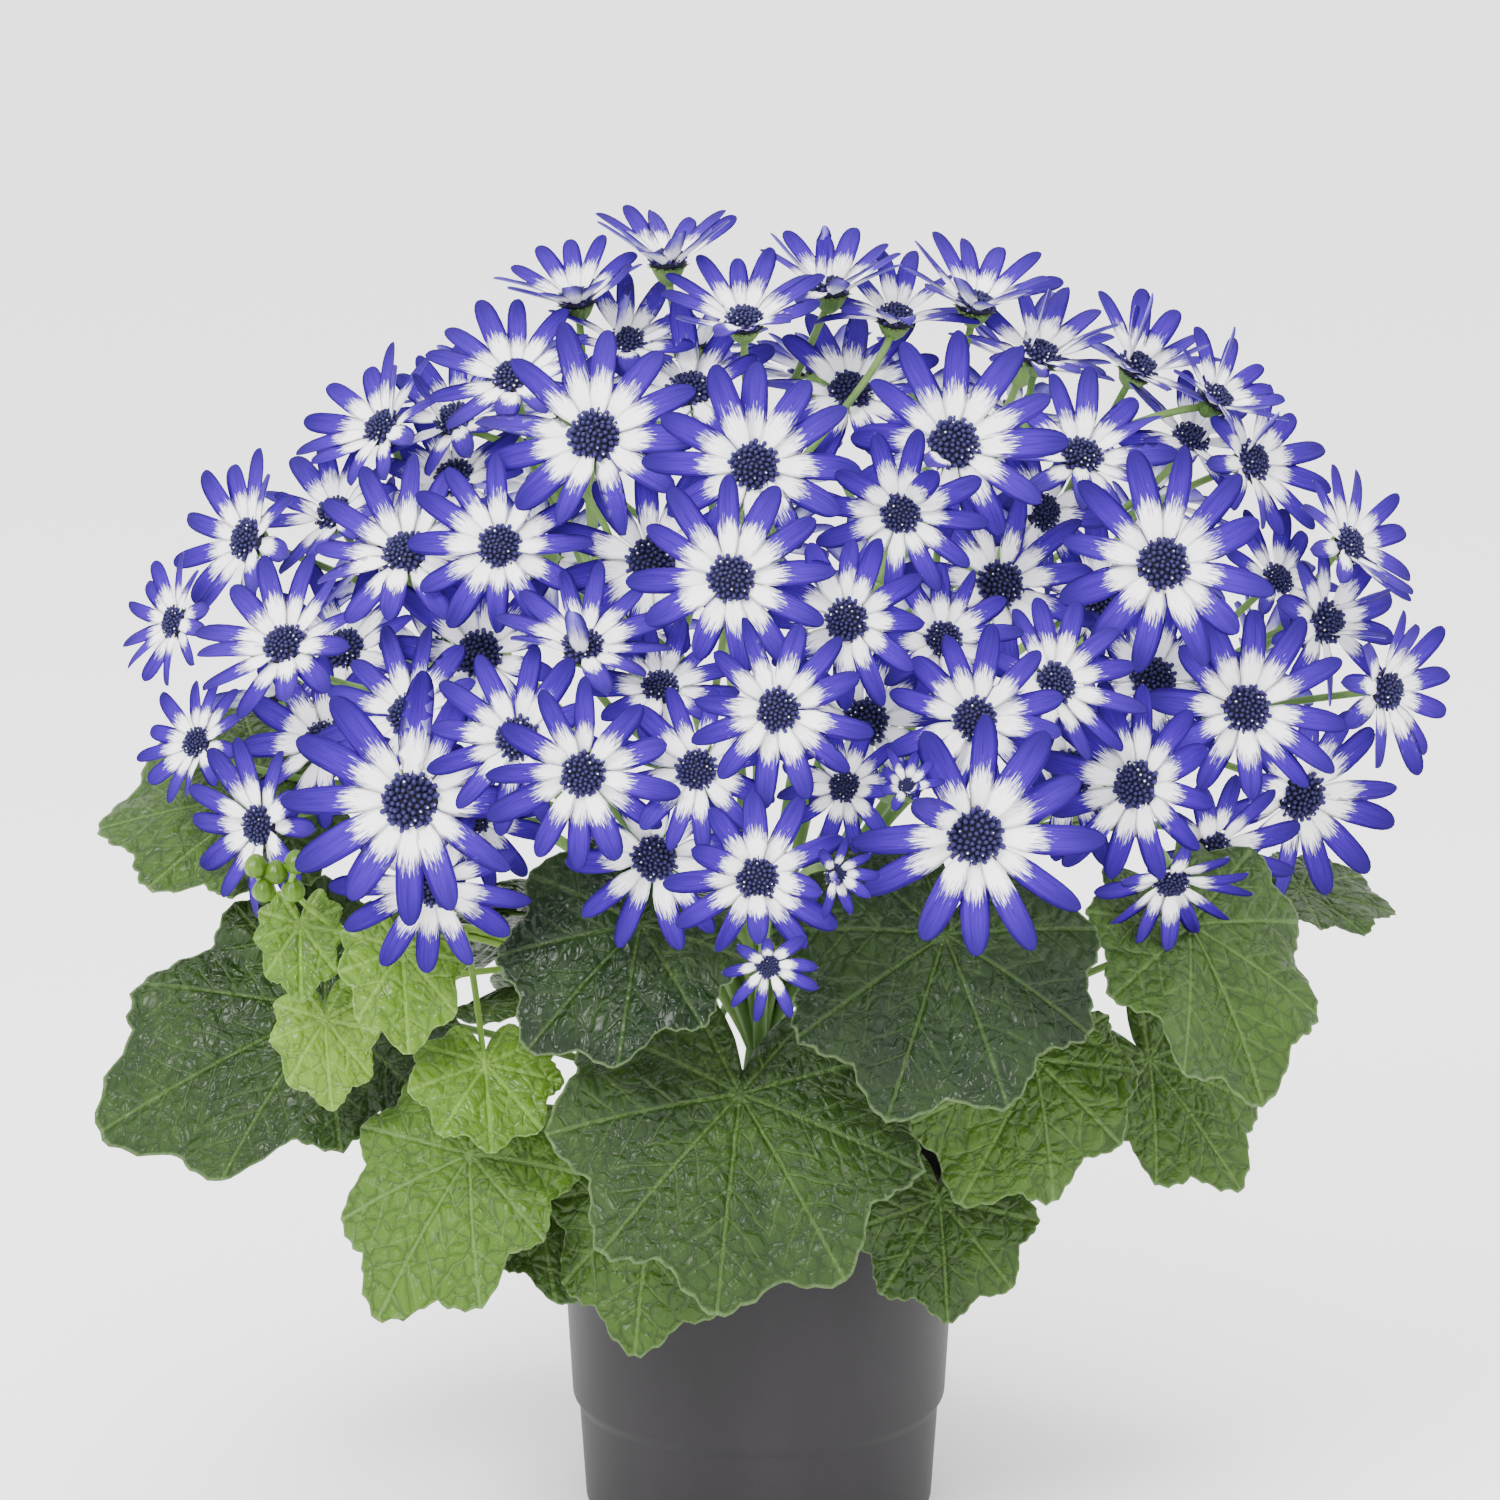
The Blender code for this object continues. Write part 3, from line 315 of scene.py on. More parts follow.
fan = np.stack([np.full(SOIL_SIDES, count - 2), after, k], -1)[:, ::-1]
base = (len(rings) + 1) * SOIL_SIDES
under = np.stack([np.full(SOIL_SIDES, count - 1), base + k, base + after], -1)[:, ::-1]
compost = Finish("compost", Roughness=0.95)
crumbs = compost.cells(420.0, "F1")
dark = compost.mix(crumbs.ramp(0.1, 0.8), (0.012, 0.008, 0.005), (0.055, 0.035, 0.022))
pale = compost.cells(150.0, "F1").ramp(0.13, 0.09)
compost.paint(compost.mix(pale, dark, (0.55, 0.52, 0.46)))
compost.bump(crumbs, 0.0012, 0.8)
make_piece("compost", points, [quads, fan, under], compost, ["soil"])


# Places: the front view that the plant was read from, and small shapes that
# stand for stalks and blades while the plant is put together. The view is
# 2 * VIEW_HALF pixels each way, VIEW_STEP metres a pixel at the plant's middle.
VIEW_TILT = math.radians(12)
VIEW_DISTANCE = 1.6
VIEW_MIDDLE = (-0.003, 0.0, 0.2604)
VIEW_STEP = 0.000333
VIEW_HALF = 750

DOME_WIDE = 0.186
DOME_TALL = 0.163
DOME_MIDDLE = 0.258
CLEAR = 0.0005


def tree_of(shape):
    return BVHTree.FromPolygons([tuple(p) for p in shape[0]], [tuple(f) for f in shape[1]])


def unit(v):
    v = np.asarray(v, float)
    return v / np.linalg.norm(v)


eye_up = np.array([0.0, math.sin(VIEW_TILT), math.cos(VIEW_TILT)])
eye_back = np.array([0.0, -math.cos(VIEW_TILT), math.sin(VIEW_TILT)])


def sight(across, down):
    """The eye, and what the view shows at these pixels as deep as its middle."""
    middle = np.array(VIEW_MIDDLE)
    right = np.array([(across - VIEW_HALF) * VIEW_STEP, 0, 0])
    return middle + eye_back * VIEW_DISTANCE, middle + right + eye_up * (VIEW_HALF - down) * VIEW_STEP


def seen_at(across, down, depth):
    """The point at this depth, along Y, that the view shows at these pixels:
    the eye plus the line of sight, stretched until its depth is right."""
    eye, aim = sight(across, down)
    line = aim - eye
    return eye + line * (depth - eye[1]) / line[1]


def on_dome(across, down, inner):
    """Where the line of sight through these pixels meets the dome, whose half
    axes are less by inner: the near root of the quadratic for an ellipsoid."""
    eye, aim = sight(across, down)
    line = unit(aim - eye)
    size = np.array([DOME_WIDE - inner, DOME_WIDE - inner, DOME_TALL - inner])
    start = (eye - np.array([0, 0, DOME_MIDDLE])) / size
    step = line / size
    a = step @ step
    b = 2 * start @ step
    c = start @ start - 1
    inside = b * b - 4 * a * c
    if inside < 0:
        return eye + line * (-b / (2 * a))
    return eye + line * ((-b - math.sqrt(inside)) / (2 * a))


def side_frame(axis):
    """Two directions square to an axis."""
    axis = unit(axis)
    side = np.cross(axis, [0.0, 0.0, 1.0])
    if np.linalg.norm(side) < 1e-3:
        side = np.array([1.0, 0.0, 0.0])
    side = unit(side)
    return side, np.cross(axis, side)


def tube(path, radii, sides):
    """A closed round rod along a path, its ring turned as little as can be."""
    path = np.asarray(path, float)
    ways = np.gradient(path, axis=0)
    side, _ = side_frame(ways[0])
    points = []
    for place, way, radius in zip(path, ways, radii):
        way = unit(way)
        side = unit(side - way * (side @ way))
        other = np.cross(way, side)
        for k in range(sides):
            angle = 2 * math.pi * k / sides
            points.append(place + radius * (math.cos(angle) * side + math.sin(angle) * other))
    faces = []
    for ring in range(len(path) - 1):
        for k in range(sides):
            a = ring * sides + k
            b = ring * sides + (k + 1) % sides
            faces.append((a, b, b + sides))
            faces.append((a, b + sides, a + sides))
    last = (len(path) - 1) * sides
    faces += [(0, k + 1, k) for k in range(1, sides - 1)]
    faces += [(last, last + k, last + k + 1) for k in range(1, sides - 1)]
    return np.array(points), faces


def bezier(a, b, c, d, count):
    t = np.linspace(0, 1, count)[:, None]
    return (1 - t) ** 3 * a + 3 * t * (1 - t) ** 2 * b + 3 * t * t * (1 - t) * c + t**3 * d


def ball(middle, radius):
    """A small rounded knob of twenty faces."""
    g = (1 + math.sqrt(5)) / 2
    points = []
    for s in (-1, 1):
        for t in (-g, g):
            points += [(0, s, t), (s, t, 0), (t, 0, s)]
    points = np.array(points, float) / math.sqrt(1 + g * g)
    faces = []
    for i in range(12):
        for j in range(i + 1, 12):
            for k in range(j + 1, 12):
                a, b, c = points[i], points[j], points[k]
                if max(a @ b, b @ c, a @ c) < 0.5 and min(a @ b, b @ c, a @ c) > 0.4:
                    out = np.cross(b - a, c - a) @ (a + b + c)
                    faces.append((i, j, k) if out > 0 else (i, k, j))
    return points * radius + middle, faces


# Leaves: soft lobed blades, puckered between pale veins, on fleshy stalks that
# grow from the stem. Each blade is the solid's own blade with its toothed
# edge, quilted surface and veins.
LEAF_THICK = 0.0010
SMALL_LEAF = 0.028
PETIOLE_RADIUS = 0.0017
LOBE_TIPS = (0, 36, 74, 112, 148)

# Each leaf: where its blade meets the stalk and where its tip lies, both as
# pixels across and down in the front view and depth in metres; half its
# width; the way its upper side faces; how far its edges droop.
LEAVES = (
    ((740, 1095, -0.122), (715, 1310, -0.160), 0.062, (0.0, -0.75, 0.65), 0.20),
    ((655, 1185, -0.092), (628, 1360, -0.108), 0.036, (-0.2, -0.9, 0.35), 0.15),
    ((945, 935, -0.128), (890, 1112, -0.165), 0.055, (0.1, -0.8, 0.6), 0.16),
    ((1035, 1060, -0.096), (965, 1208, -0.118), 0.039, (0.3, -0.85, 0.4), 0.14),
    ((940, 1200, -0.082), (950, 1325, -0.098), 0.033, (0.15, -0.95, 0.25), 0.10),
    ((1150, 1060, -0.055), (1250, 1188, -0.070), 0.032, (0.4, -0.8, 0.4), 0.12),
    ((1190, 925, -0.098), (1285, 1095, -0.122), 0.044, (0.4, -0.6, 0.7), 0.14),
    ((1300, 890, 0.000), (1400, 905, 0.000), 0.022, (0.3, -0.4, 0.85), 0.12),
    ((640, 925, -0.130), (520, 1042, -0.150), 0.040, (-0.1, -0.8, 0.6), 0.16),
    ((270, 795, -0.010), (88, 815, -0.005), 0.042, (-0.4, -0.6, 0.7), 0.14),
    ((325, 1010, -0.040), (82, 1118, -0.055), 0.050, (-0.3, -0.8, 0.5), 0.16),
    ((470, 1155, -0.092), (365, 1316, -0.112), 0.038, (-0.2, -0.8, 0.55), 0.18),
    ((540, 1205, -0.078), (635, 1300, -0.092), 0.024, (0.0, -0.9, 0.4), 0.12),
)
BACK_LEAVES = 7


def lobe_outline(angle, ahead, wide):
    """Distance from the stalk to a leaf's edge at an angle off the tip: an
    oval with nine pointed lobes, and a cleft where the stalk comes in."""
    degrees = abs(math.degrees(angle))
    long = ahead if degrees < 90 else 0.52 * ahead
    reach = 1 / math.hypot(math.cos(angle) / long, math.sin(angle) / wide)
    gap = min(abs(degrees - tip) for tip in LOBE_TIPS)
    reach *= 1.0 - 0.16 * min(gap / 18.0, 1.0)
    return reach * (1.0 - 0.72 * math.exp(-(((180 - degrees) / 15.0) ** 2)))


class Leaf:
    """One leaf blade: its stalk end, tip, half-width, facing and droop."""

    def __init__(self, base, tip, wide, facing, droop, seed):
        rng = random.Random(seed)
        self.base = np.asarray(base, float)
        self.long = float(np.linalg.norm(np.asarray(tip) - self.base))
        self.ahead = unit(np.asarray(tip) - self.base)
        self.facing = unit(np.asarray(facing, float) - self.ahead * (np.asarray(facing) @ self.ahead))
        self.wide = wide
        self.droop = droop
        self.phase = rng.uniform(0, 2 * math.pi)
        self.wave = rng.uniform(0.035, 0.06)
        self.cup = rng.uniform(0.10, 0.20)

    def turned(self, pitch, roll):
        """The same leaf swung about its stalk end."""
        made = object.__new__(Leaf)
        made.__dict__.update(self.__dict__)
        cos_p, sin_p = math.cos(pitch), math.sin(pitch)
        made.ahead = unit(self.ahead * cos_p + self.facing * sin_p)
        facing = unit(self.facing * cos_p - self.ahead * sin_p)
        side = np.cross(facing, made.ahead)
        made.facing = unit(facing * math.cos(roll) + side * math.sin(roll))
        return made

    def point(self, angle, share, deep=0.0):
        """A point of the blade, share of the way from stalk to edge."""
        side = np.cross(self.facing, self.ahead)
        reach = lobe_outline(angle, self.long, self.wide) * share
        u = reach * math.cos(angle)
        w = reach * math.sin(angle)
        size = 0.5 * (self.long + self.wide)
        high = self.cup * abs(w) - self.droop * (u * u + 1.3 * w * w) / size
        high += self.wave * size * share * share * math.sin(5 * angle + self.phase)
        place = self.base + u * self.ahead + w * side + high * self.facing
        return place - deep * self.facing

    def shape(self, thick=LEAF_THICK, grow=0.0):
        angles = [0.0]
        for k, tip in enumerate(LOBE_TIPS[1:]):
            angles += [math.radians((tip + LOBE_TIPS[k]) / 2), math.radians(tip)]
        angles += [math.radians(166)]
        ring = (0, 37, 74, 112, 150, 180, 210, 248, 286, 323)
        if self.wide < SMALL_LEAF:
            angles = [math.radians(a) for a in (0, 26, 48, 80, 112, 155)]
            ring = (0, 60, 120, 180, 240, 300)
        full = angles + [math.pi] + [-a for a in reversed(angles[1:])]
        inner = [math.radians(a) for a in ring]
        count = len(full)
        points = []
        for deep in (-grow, thick + grow):
            points.append(self.point(0.0, 0.0, deep))
            points += [self.point(a, 0.52, deep) for a in inner]
            points += [self.point(a, 1.0, deep) for a in full]
        m = len(inner)
        half = 1 + m + count
        position = [a % (2 * math.pi) for a in full]
        top = [(0, 1 + k, 1 + (k + 1) % m) for k in range(m)]
        k = 0
        i = 0
        while k < m or i < count:
            turn_in = (inner[k + 1] if k + 1 < m else 2 * math.pi) if k < m else 99
            turn_out = (position[i + 1] if i + 1 < count else 2 * math.pi) if i < count else 99
            a = 1 + k % m
            b = 1 + m + i % count
            if turn_out <= turn_in + 1e-6:
                top.append((a, b, 1 + m + (i + 1) % count))
                i += 1
            else:
                top.append((a, b, 1 + (k + 1) % m))
                k += 1
        faces = list(top) + [(a + half, c + half, b + half) for a, b, c in top]
        for i in range(count):
            a = 1 + m + i
            b = 1 + m + (i + 1) % count
            faces += [(a, a + half, b), (b, a + half, b + half)]
        return np.array(points), faces


def petiole(leaf, high, aside, steps=5):
    """The stalk's path from the stem to the underside of a blade's middle."""
    angle = math.atan2(leaf.base[1], leaf.base[0]) + aside
    out = np.array([math.cos(angle), math.sin(angle), 0.0])
    start = out * (TRUNK_RADIUS + 0.0002) + np.array([0, 0, high])
    root = start + out * 0.004
    end = leaf.base - leaf.facing * 0.0006 + leaf.ahead * 0.004
    near = leaf.base - leaf.facing * 0.012 - leaf.ahead * 0.028
    clear_rim = POT_HEIGHT + 0.018
    near[2] = max(near[2], clear_rim + 0.004)
    rise = root + out * 0.022 + np.array([0, 0, max(0.0, clear_rim + 0.006 - root[2])])
    return np.concatenate([[start], bezier(root, rise, near, end, steps)])


def petiole_rod(path):
    return tube(path, np.linspace(PETIOLE_RADIUS, PETIOLE_RADIUS * 0.62, 6), 5)


# Leaves: each is swung about its stalk end until it is clear of the others.
obstacles = []
guard_rings = (
    (POT_BASE_RADIUS + 0.001, 0.0),
    (POT_BAND_FOOT_RADIUS + 0.001, POT_BAND_FOOT),
    (POT_RIM_RADIUS + 0.001, POT_HEIGHT + 0.001),
    (POT_RIM_RADIUS - POT_WALL - 0.001, POT_HEIGHT + 0.001),
    (POT_RIM_RADIUS - POT_WALL - 0.001, SOIL_TOP + 0.001),
    (0.002, SOIL_TOP + 0.002),
)
guard = tube([(0, 0, z) for _, z in guard_rings], [r for r, _ in guard_rings], 24)
turns = 2 * math.pi * np.arange(24) / 24
guard_points = [(r * math.cos(t), r * math.sin(t), z) for r, z in guard_rings for t in turns]
obstacles.append(tree_of((guard_points, guard[1][: 2 * 24 * (len(guard_rings) - 1)])))
trunk = tube(
    [(0, 0, SOIL_TOP - SOIL_HOLE_DEPTH + GAP), (0, 0, TRUNK_TOP - 0.012), (0, 0, TRUNK_TOP)],
    (TRUNK_RADIUS, TRUNK_RADIUS, TRUNK_RADIUS * 0.7),
    16,
)
obstacles.append(tree_of(trunk))


def is_clear(shape, trees):
    tree = tree_of(shape)
    return not any(tree.overlap(other) for other in trees)


swings = [(0, 0)]
for size in (4, 8, 12, 16, 21, 26, 32):
    swings += [(size, 0), (-size, 0), (size, size), (-size, -size), (size, -size), (0, size)]
    swings += [(0, -size)]

leaf_jobs = []
for k, (base, tip, wide, facing, droop) in enumerate(LEAVES):
    leaf_jobs.append(Leaf(seen_at(*base), seen_at(*tip), wide, facing, droop, 40 + k))
for k in range(BACK_LEAVES):
    rng = random.Random(900 + k)
    angle = math.radians(22 + 136 * k / (BACK_LEAVES - 1) + rng.uniform(-4, 4))
    out = np.array([math.cos(angle), math.sin(angle), 0.0])
    high = 0.158 + 0.020 * (k % 2) + rng.uniform(-0.004, 0.004)
    base = out * (0.098 + 0.012 * (k % 2)) + np.array([0, 0, high])
    tip = out * rng.uniform(0.166, 0.190) + np.array([0, 0, high - rng.uniform(0.030, 0.055)])
    facing = out * 0.6 + np.array([0, 0, 0.8])
    leaf_jobs.append(Leaf(base, tip, rng.uniform(0.040, 0.052), facing, 0.16, 60 + k))

rank = np.argsort(np.argsort([leaf.base[2] for leaf in leaf_jobs]))
asides = [0.0]
for turn_off in (14, 28, 42, 56, 75):
    asides += [math.radians(turn_off), -math.radians(turn_off)]
rises = (0.0, 0.004, -0.004, 0.008, -0.008, 0.012, -0.012, 0.018, -0.018)
placed_leaves = []
for k, leaf in enumerate(leaf_jobs):
    low = SOIL_TOP + 0.0085 + 0.0018 * rank[k]
    found = None
    for shift in (0.0, 0.006, -0.006, 0.012, -0.012, 0.02):
        for pitch, roll in swings:
            trial = leaf.turned(math.radians(pitch), math.radians(roll))
            trial.base = trial.base + shift * trial.facing
            if not is_clear(trial.shape(LEAF_THICK, CLEAR), obstacles):
                continue
            for rise in rises:
                high = min(max(low + rise, SOIL_TOP + 0.006), TRUNK_TOP - 0.013)
                turns_round = [a for a in asides if is_clear(petiole_rod(petiole(trial, high, a)), obstacles)]
                if turns_round:
                    found = trial
                    break
            if found:
                break
        if found:
            break
    placed_leaves.append((found, petiole(found, high, turns_round[0], 15)))
    obstacles.append(tree_of(found.shape()))
    obstacles.append(tree_of(petiole_rod(petiole(found, high, turns_round[0]))))


# How bright each leaf is, from dark green at 0 to fresh green at 1: partly each leaf's age, partly painted
# shade that darkens the leaves in the middle, under the dome of blooms.
LEAF_SHADE_AND_AGE_TONES = (0.24, 0.50, 0.10, 0.66, 0.36, 0.54, 0.44, 0.30, 0.06, 0.46, 0.20, 0.90, 0.38)
SIDE_VEIN_STEP = 0.0092
LEAF_ROUND = 168
LEAF_RINGS = 26


def toothed_edge(angle, ahead, wide, phase):
    """lobe_outline for whole arrays, with small teeth: a fine saw wave whose
    size drifts round the blade."""
    degrees = np.abs(np.degrees(angle))
    long = np.where(degrees < 90, ahead, 0.52 * ahead)
    reach = 1 / np.hypot(np.cos(angle) / long, np.sin(angle) / wide)
    gap = np.min([np.abs(degrees - tip) for tip in LOBE_TIPS], axis=0)
    reach = reach * (1.0 - 0.15 * np.minimum(gap / 18.0, 1.0) ** 1.25)
    saw = np.abs(((degrees / 7.2 + 0.3 * np.sin(phase)) % 1.0) - 0.5) * 2
    reach = reach * (1.0 - (0.030 + 0.012 * np.sin(3 * angle + phase)) * saw)
    return reach * (1.0 - 0.72 * np.exp(-(((180 - degrees) / 15.0) ** 2)))


def vein_distance(angle, out):
    """Distance from the nearest lobe's main vein, and from the side veins
    that leave it at a slant, one every SIDE_VEIN_STEP."""
    bend = np.min([np.abs(np.abs(angle) - math.radians(t)) for t in LOBE_TIPS], axis=0)
    main = out * np.sin(bend)
    along = out * np.cos(bend) - 0.9 * main
    side = np.abs((along / SIDE_VEIN_STEP) % 1.0 - 0.5) * SIDE_VEIN_STEP
    return main, side


def blade(leaf, round_steps, rings, seed):
    """A leaf's points: the solid's blade bent the same way, raised between
    its veins and crinkled, with a thin underside that meets it at the edge."""
    angle = 2 * math.pi * np.arange(round_steps) / round_steps - math.pi
    share = np.linspace(0.0, 1.0, rings + 1)[1:] ** 0.82
    reach = toothed_edge(angle, leaf.long, leaf.wide, leaf.phase)
    out = share[:, None] * reach[None, :]
    turn = np.broadcast_to(angle, out.shape)
    u = out * np.cos(turn)
    w = out * np.sin(turn)
    size = 0.5 * (leaf.long + leaf.wide)
    rise = share[:, None] + 0 * out
    high = leaf.cup * np.abs(w) - leaf.droop * (u * u + 1.3 * w * w) / size
    high = high + leaf.wave * size * rise**2 * np.sin(5 * turn + leaf.phase)
    main, side = vein_distance(turn, out)
    quilt = np.minimum(1 - np.exp(-main / 0.0022), 1 - np.exp(-side / 0.0018))
    relief = size * 0.020 * quilt * (1 - 0.5 * rise**4)
    ripple = np.sin(11 * turn + 2.3 * seed) * 0.010 + np.sin(19 * turn + seed) * 0.006
    relief = relief + size * ripple * rise**3
    side_way = np.cross(leaf.facing, leaf.ahead)
    top = leaf.base + u[..., None] * leaf.ahead + w[..., None] * side_way
    top = top + (high + relief)[..., None] * leaf.facing
    deep = (0.00055 * (1 - 0.75 * rise**6) + 0.0004 * (main < 0.0012))[..., None]
    low = top - deep * leaf.facing
    middle = leaf.base + 0.0002 * leaf.facing
    points = np.concatenate(
        [[middle], top.reshape(-1, 3), [middle - 0.0009 * leaf.facing], low.reshape(-1, 3)]
    )
    flat = np.stack([u, w, rise], -1).reshape(-1, 3)
    tagged = np.concatenate([[[0, 0, 0]], flat, [[0, 0, 0]], flat])
    n = round_steps
    half = 1 + rings * n
    k = np.arange(n)
    after = (k + 1) % n
    hub = np.stack([np.zeros(n, int), 1 + k, 1 + after], -1)
    quads = ring_faces(rings, n, 1)
    last = 1 + (rings - 1) * n
    rim = np.stack([last + k, last + half + k, last + half + after, last + after], -1)
    upper = [quads[:, ::-1], hub]
    lower = [quads + half, hub[:, ::-1] + half]
    return points, tagged, upper, lower, rim


def blade_faces(upper, lower, rim):
    return [upper[0], lower[0], rim, upper[1], lower[1]]


def round_rod(path, radii, sides, shift=0):
    """A smooth rod for a stalk: rings carried along the path, ends fanned."""
    path = np.asarray(path, float)
    ways = np.gradient(path, axis=0)
    ways /= np.linalg.norm(ways, axis=1)[:, None]
    side, _ = side_frame(ways[0])
    sides_out = []
    for way in ways:
        side = unit(side - way * (side @ way))
        sides_out.append(side)
    across = np.array(sides_out)
    other = np.cross(ways, across)
    angles = 2 * math.pi * np.arange(sides) / sides
    radii = np.broadcast_to(radii, len(path))
    ring = across[:, None] * np.cos(angles)[:, None] + other[:, None] * np.sin(angles)[:, None]
    points = (path[:, None] + radii[:, None, None] * ring).reshape(-1, 3)
    points = np.concatenate([points, path[:1], path[-1:]])
    quads = ring_faces(len(path), sides)
    k = np.arange(sides)
    after = (k + 1) % sides
    count = len(points)
    last = (len(path) - 1) * sides
    first_cap = np.stack([np.full(sides, count - 2), after, k], -1)
    end_cap = np.stack([np.full(sides, count - 1), last + k, last + after], -1)
    return points, [quads + shift, first_cap + shift, end_cap + shift]


def leaf_finish(name, dark, bright, shine):
    """Green skin with pale main and side veins, a darker sunken net of small
    ones and a pale rim. Gloss and brightness drift in patches."""
    made = Finish(name, Roughness=shine, Specular_IOR_Level=0.20)
    u, w, share = made.marks("blade")
    tone, fresh, _ = made.marks("tone")
    out = (u * u + w * w).power(0.5)
    angle = w.size().step("ARCTAN2", u)
    bend = (angle - math.radians(LOBE_TIPS[0])).size()
    for tip in LOBE_TIPS[1:]:
        bend = bend.least((angle - math.radians(tip)).size())
    main = out * bend.step("SINE")
    along = out * bend.step("COSINE") - main * 0.9
    wander = made.noise(260.0, 2.0) * 0.0010
    main_line = (main + wander * 0.5).ramp(0.0014, 0.0005)
    crook = made.noise(90.0, 2.0) * 0.0050
    side = (((along + crook) / SIDE_VEIN_STEP).step("FRACT") - 0.5).size() * SIDE_VEIN_STEP
    side_line = (side + wander * 0.6).ramp(0.0013, 0.0005) * share.ramp(1.0, 0.75)
    warp = made.noise(70.0, 2.0)
    flat = made.together(u + warp * 0.012, w + warp * 0.009, tone)
    net = made.cells(185.0, "DISTANCE_TO_EDGE", flat)
    fine_net = made.cells(430.0, "DISTANCE_TO_EDGE", flat)
    net_line = net.ramp(0.13, 0.0)
    patches = made.noise(42.0, 4.0)
    # Painted shade: the tone mark darkens the leaves under the dome as well as the older ones, and the pale
    # veins below fade with it.
    base = made.mix(tone + (patches - 0.5) * 0.55, dark, bright)
    base = made.mix(net_line * 0.45, base, tuple(0.45 * c for c in dark))
    pale = tuple(1.05 * c + 0.025 for c in bright)
    base = made.mix(side_line * (tone * 0.45 + 0.05), base, pale)
    base = made.mix(main_line * (tone * 0.7 + 0.15), base, pale)
    rim = share.ramp(0.976, 0.994)
    base = made.mix(rim * 0.35, base, tuple(1.3 * c + 0.08 for c in bright))
    made.paint(base)
    made.drive("Roughness", shine + (patches - 0.5) * 0.30 - fresh * 0.06)
    height = net.ramp(0.0, 0.34) + fine_net.ramp(0.0, 0.3) * 0.25 - side_line * 0.5 - main_line * 0.7
    made.bump(height, 0.0014, 0.6)
    return made


leaf_skin = leaf_finish("leaf_skin", (0.004, 0.014, 0.003), (0.054, 0.118, 0.009), 0.36)
for k, (leaf, path) in enumerate(placed_leaves):
    points, flat, upper, lower, rim = blade(leaf, LEAF_ROUND, LEAF_RINGS, 3.1 * k)
    radii = np.linspace(PETIOLE_RADIUS, PETIOLE_RADIUS * 0.62, len(path))
    rod, rod_faces = round_rod(path, radii, 10, len(points))
    tone = LEAF_SHADE_AND_AGE_TONES[k] if k < len(LEAF_SHADE_AND_AGE_TONES) else 0.30 + 0.05 * (k % 4)
    marks = {
        "blade": np.concatenate([flat, np.tile([[0.004, 0.0, 0.2]], (len(rod), 1))]),
        "tone": np.concatenate(
            [np.tile([[tone, k * 0.37 % 1, 0]], (len(points), 1)), np.tile([[0.9, 0, 0]], (len(rod), 1))]
        ),
    }
    faces = blade_faces(upper, lower, rim) + rod_faces
    name = f"leaf_{k + 1:02d}"
    all_points = np.concatenate([points, rod])
    make_piece(name + "_blade", all_points, faces, leaf_skin, [name], marks)


# Side shoot: a thin stalk with small bright leaves and a knot of round buds,
# grown from the stem on the left.
SHOOT_LEAVES = (
    ((300, 925, -0.100), (300, 1003, -0.112), 0.015, (-0.1, -0.85, 0.5), 0.12),
    ((402, 950, -0.112), (408, 1053, -0.128), 0.021, (0.0, -0.8, 0.6), 0.14),
    ((325, 1020, -0.088), (330, 1113, -0.098), 0.019, (-0.2, -0.85, 0.5), 0.12),
    ((485, 1065, -0.105), (492, 1152, -0.122), 0.026, (0.1, -0.8, 0.6), 0.12),
)
SHOOT_STALK_RADII = (0.0012, 0.0012, 0.0011, 0.0010)
SHOOT_FORK = (372, 935, -0.085)
SHOOT_BUDS = ((293, 890), (296, 862), (276, 872), (256, 866), (264, 890))
BUD_RADIUS = 0.0036


def shoot_stalk(start, leaf):
    """The four points that bend a young leaf's stalk, for bezier."""
    end = leaf.base - leaf.facing * 0.0005 + leaf.ahead * 0.002
    middle = (start + end) / 2 + np.array([0, 0, 0.008])
    return start, middle, middle, end


fork = seen_at(*SHOOT_FORK)
shoot_angle = math.atan2(fork[1], fork[0])
shoot_path = None
for high in (0.1500, 0.1520, 0.1480, 0.1450, 0.1420, 0.1380, 0.1340, 0.1300, 0.1260):
    for aside in asides:
        out = np.array([math.cos(shoot_angle + aside), math.sin(shoot_angle + aside), 0.0])
        start = out * (TRUNK_RADIUS + 0.0002) + np.array([0, 0, high])
        root = start + out * 0.004
        lift = root + out * 0.025 + np.array([0, 0, 0.024])
        curve = bezier(root, lift, fork + np.array([0.03, 0.02, 0.012]), fork, 5)
        path = np.concatenate([[start], curve])
        if shoot_path is None and is_clear(tube(path, np.linspace(0.0020, 0.0015, 6), 5), obstacles):
            shoot_path = path
if shoot_path is None:
    print("the side shoot is not clear")
    shoot_path = path
shoot_shapes = [tube(shoot_path, np.linspace(0.0016, 0.0013, 6), 5)]
shoot_trees = []
shoot_leaves = []
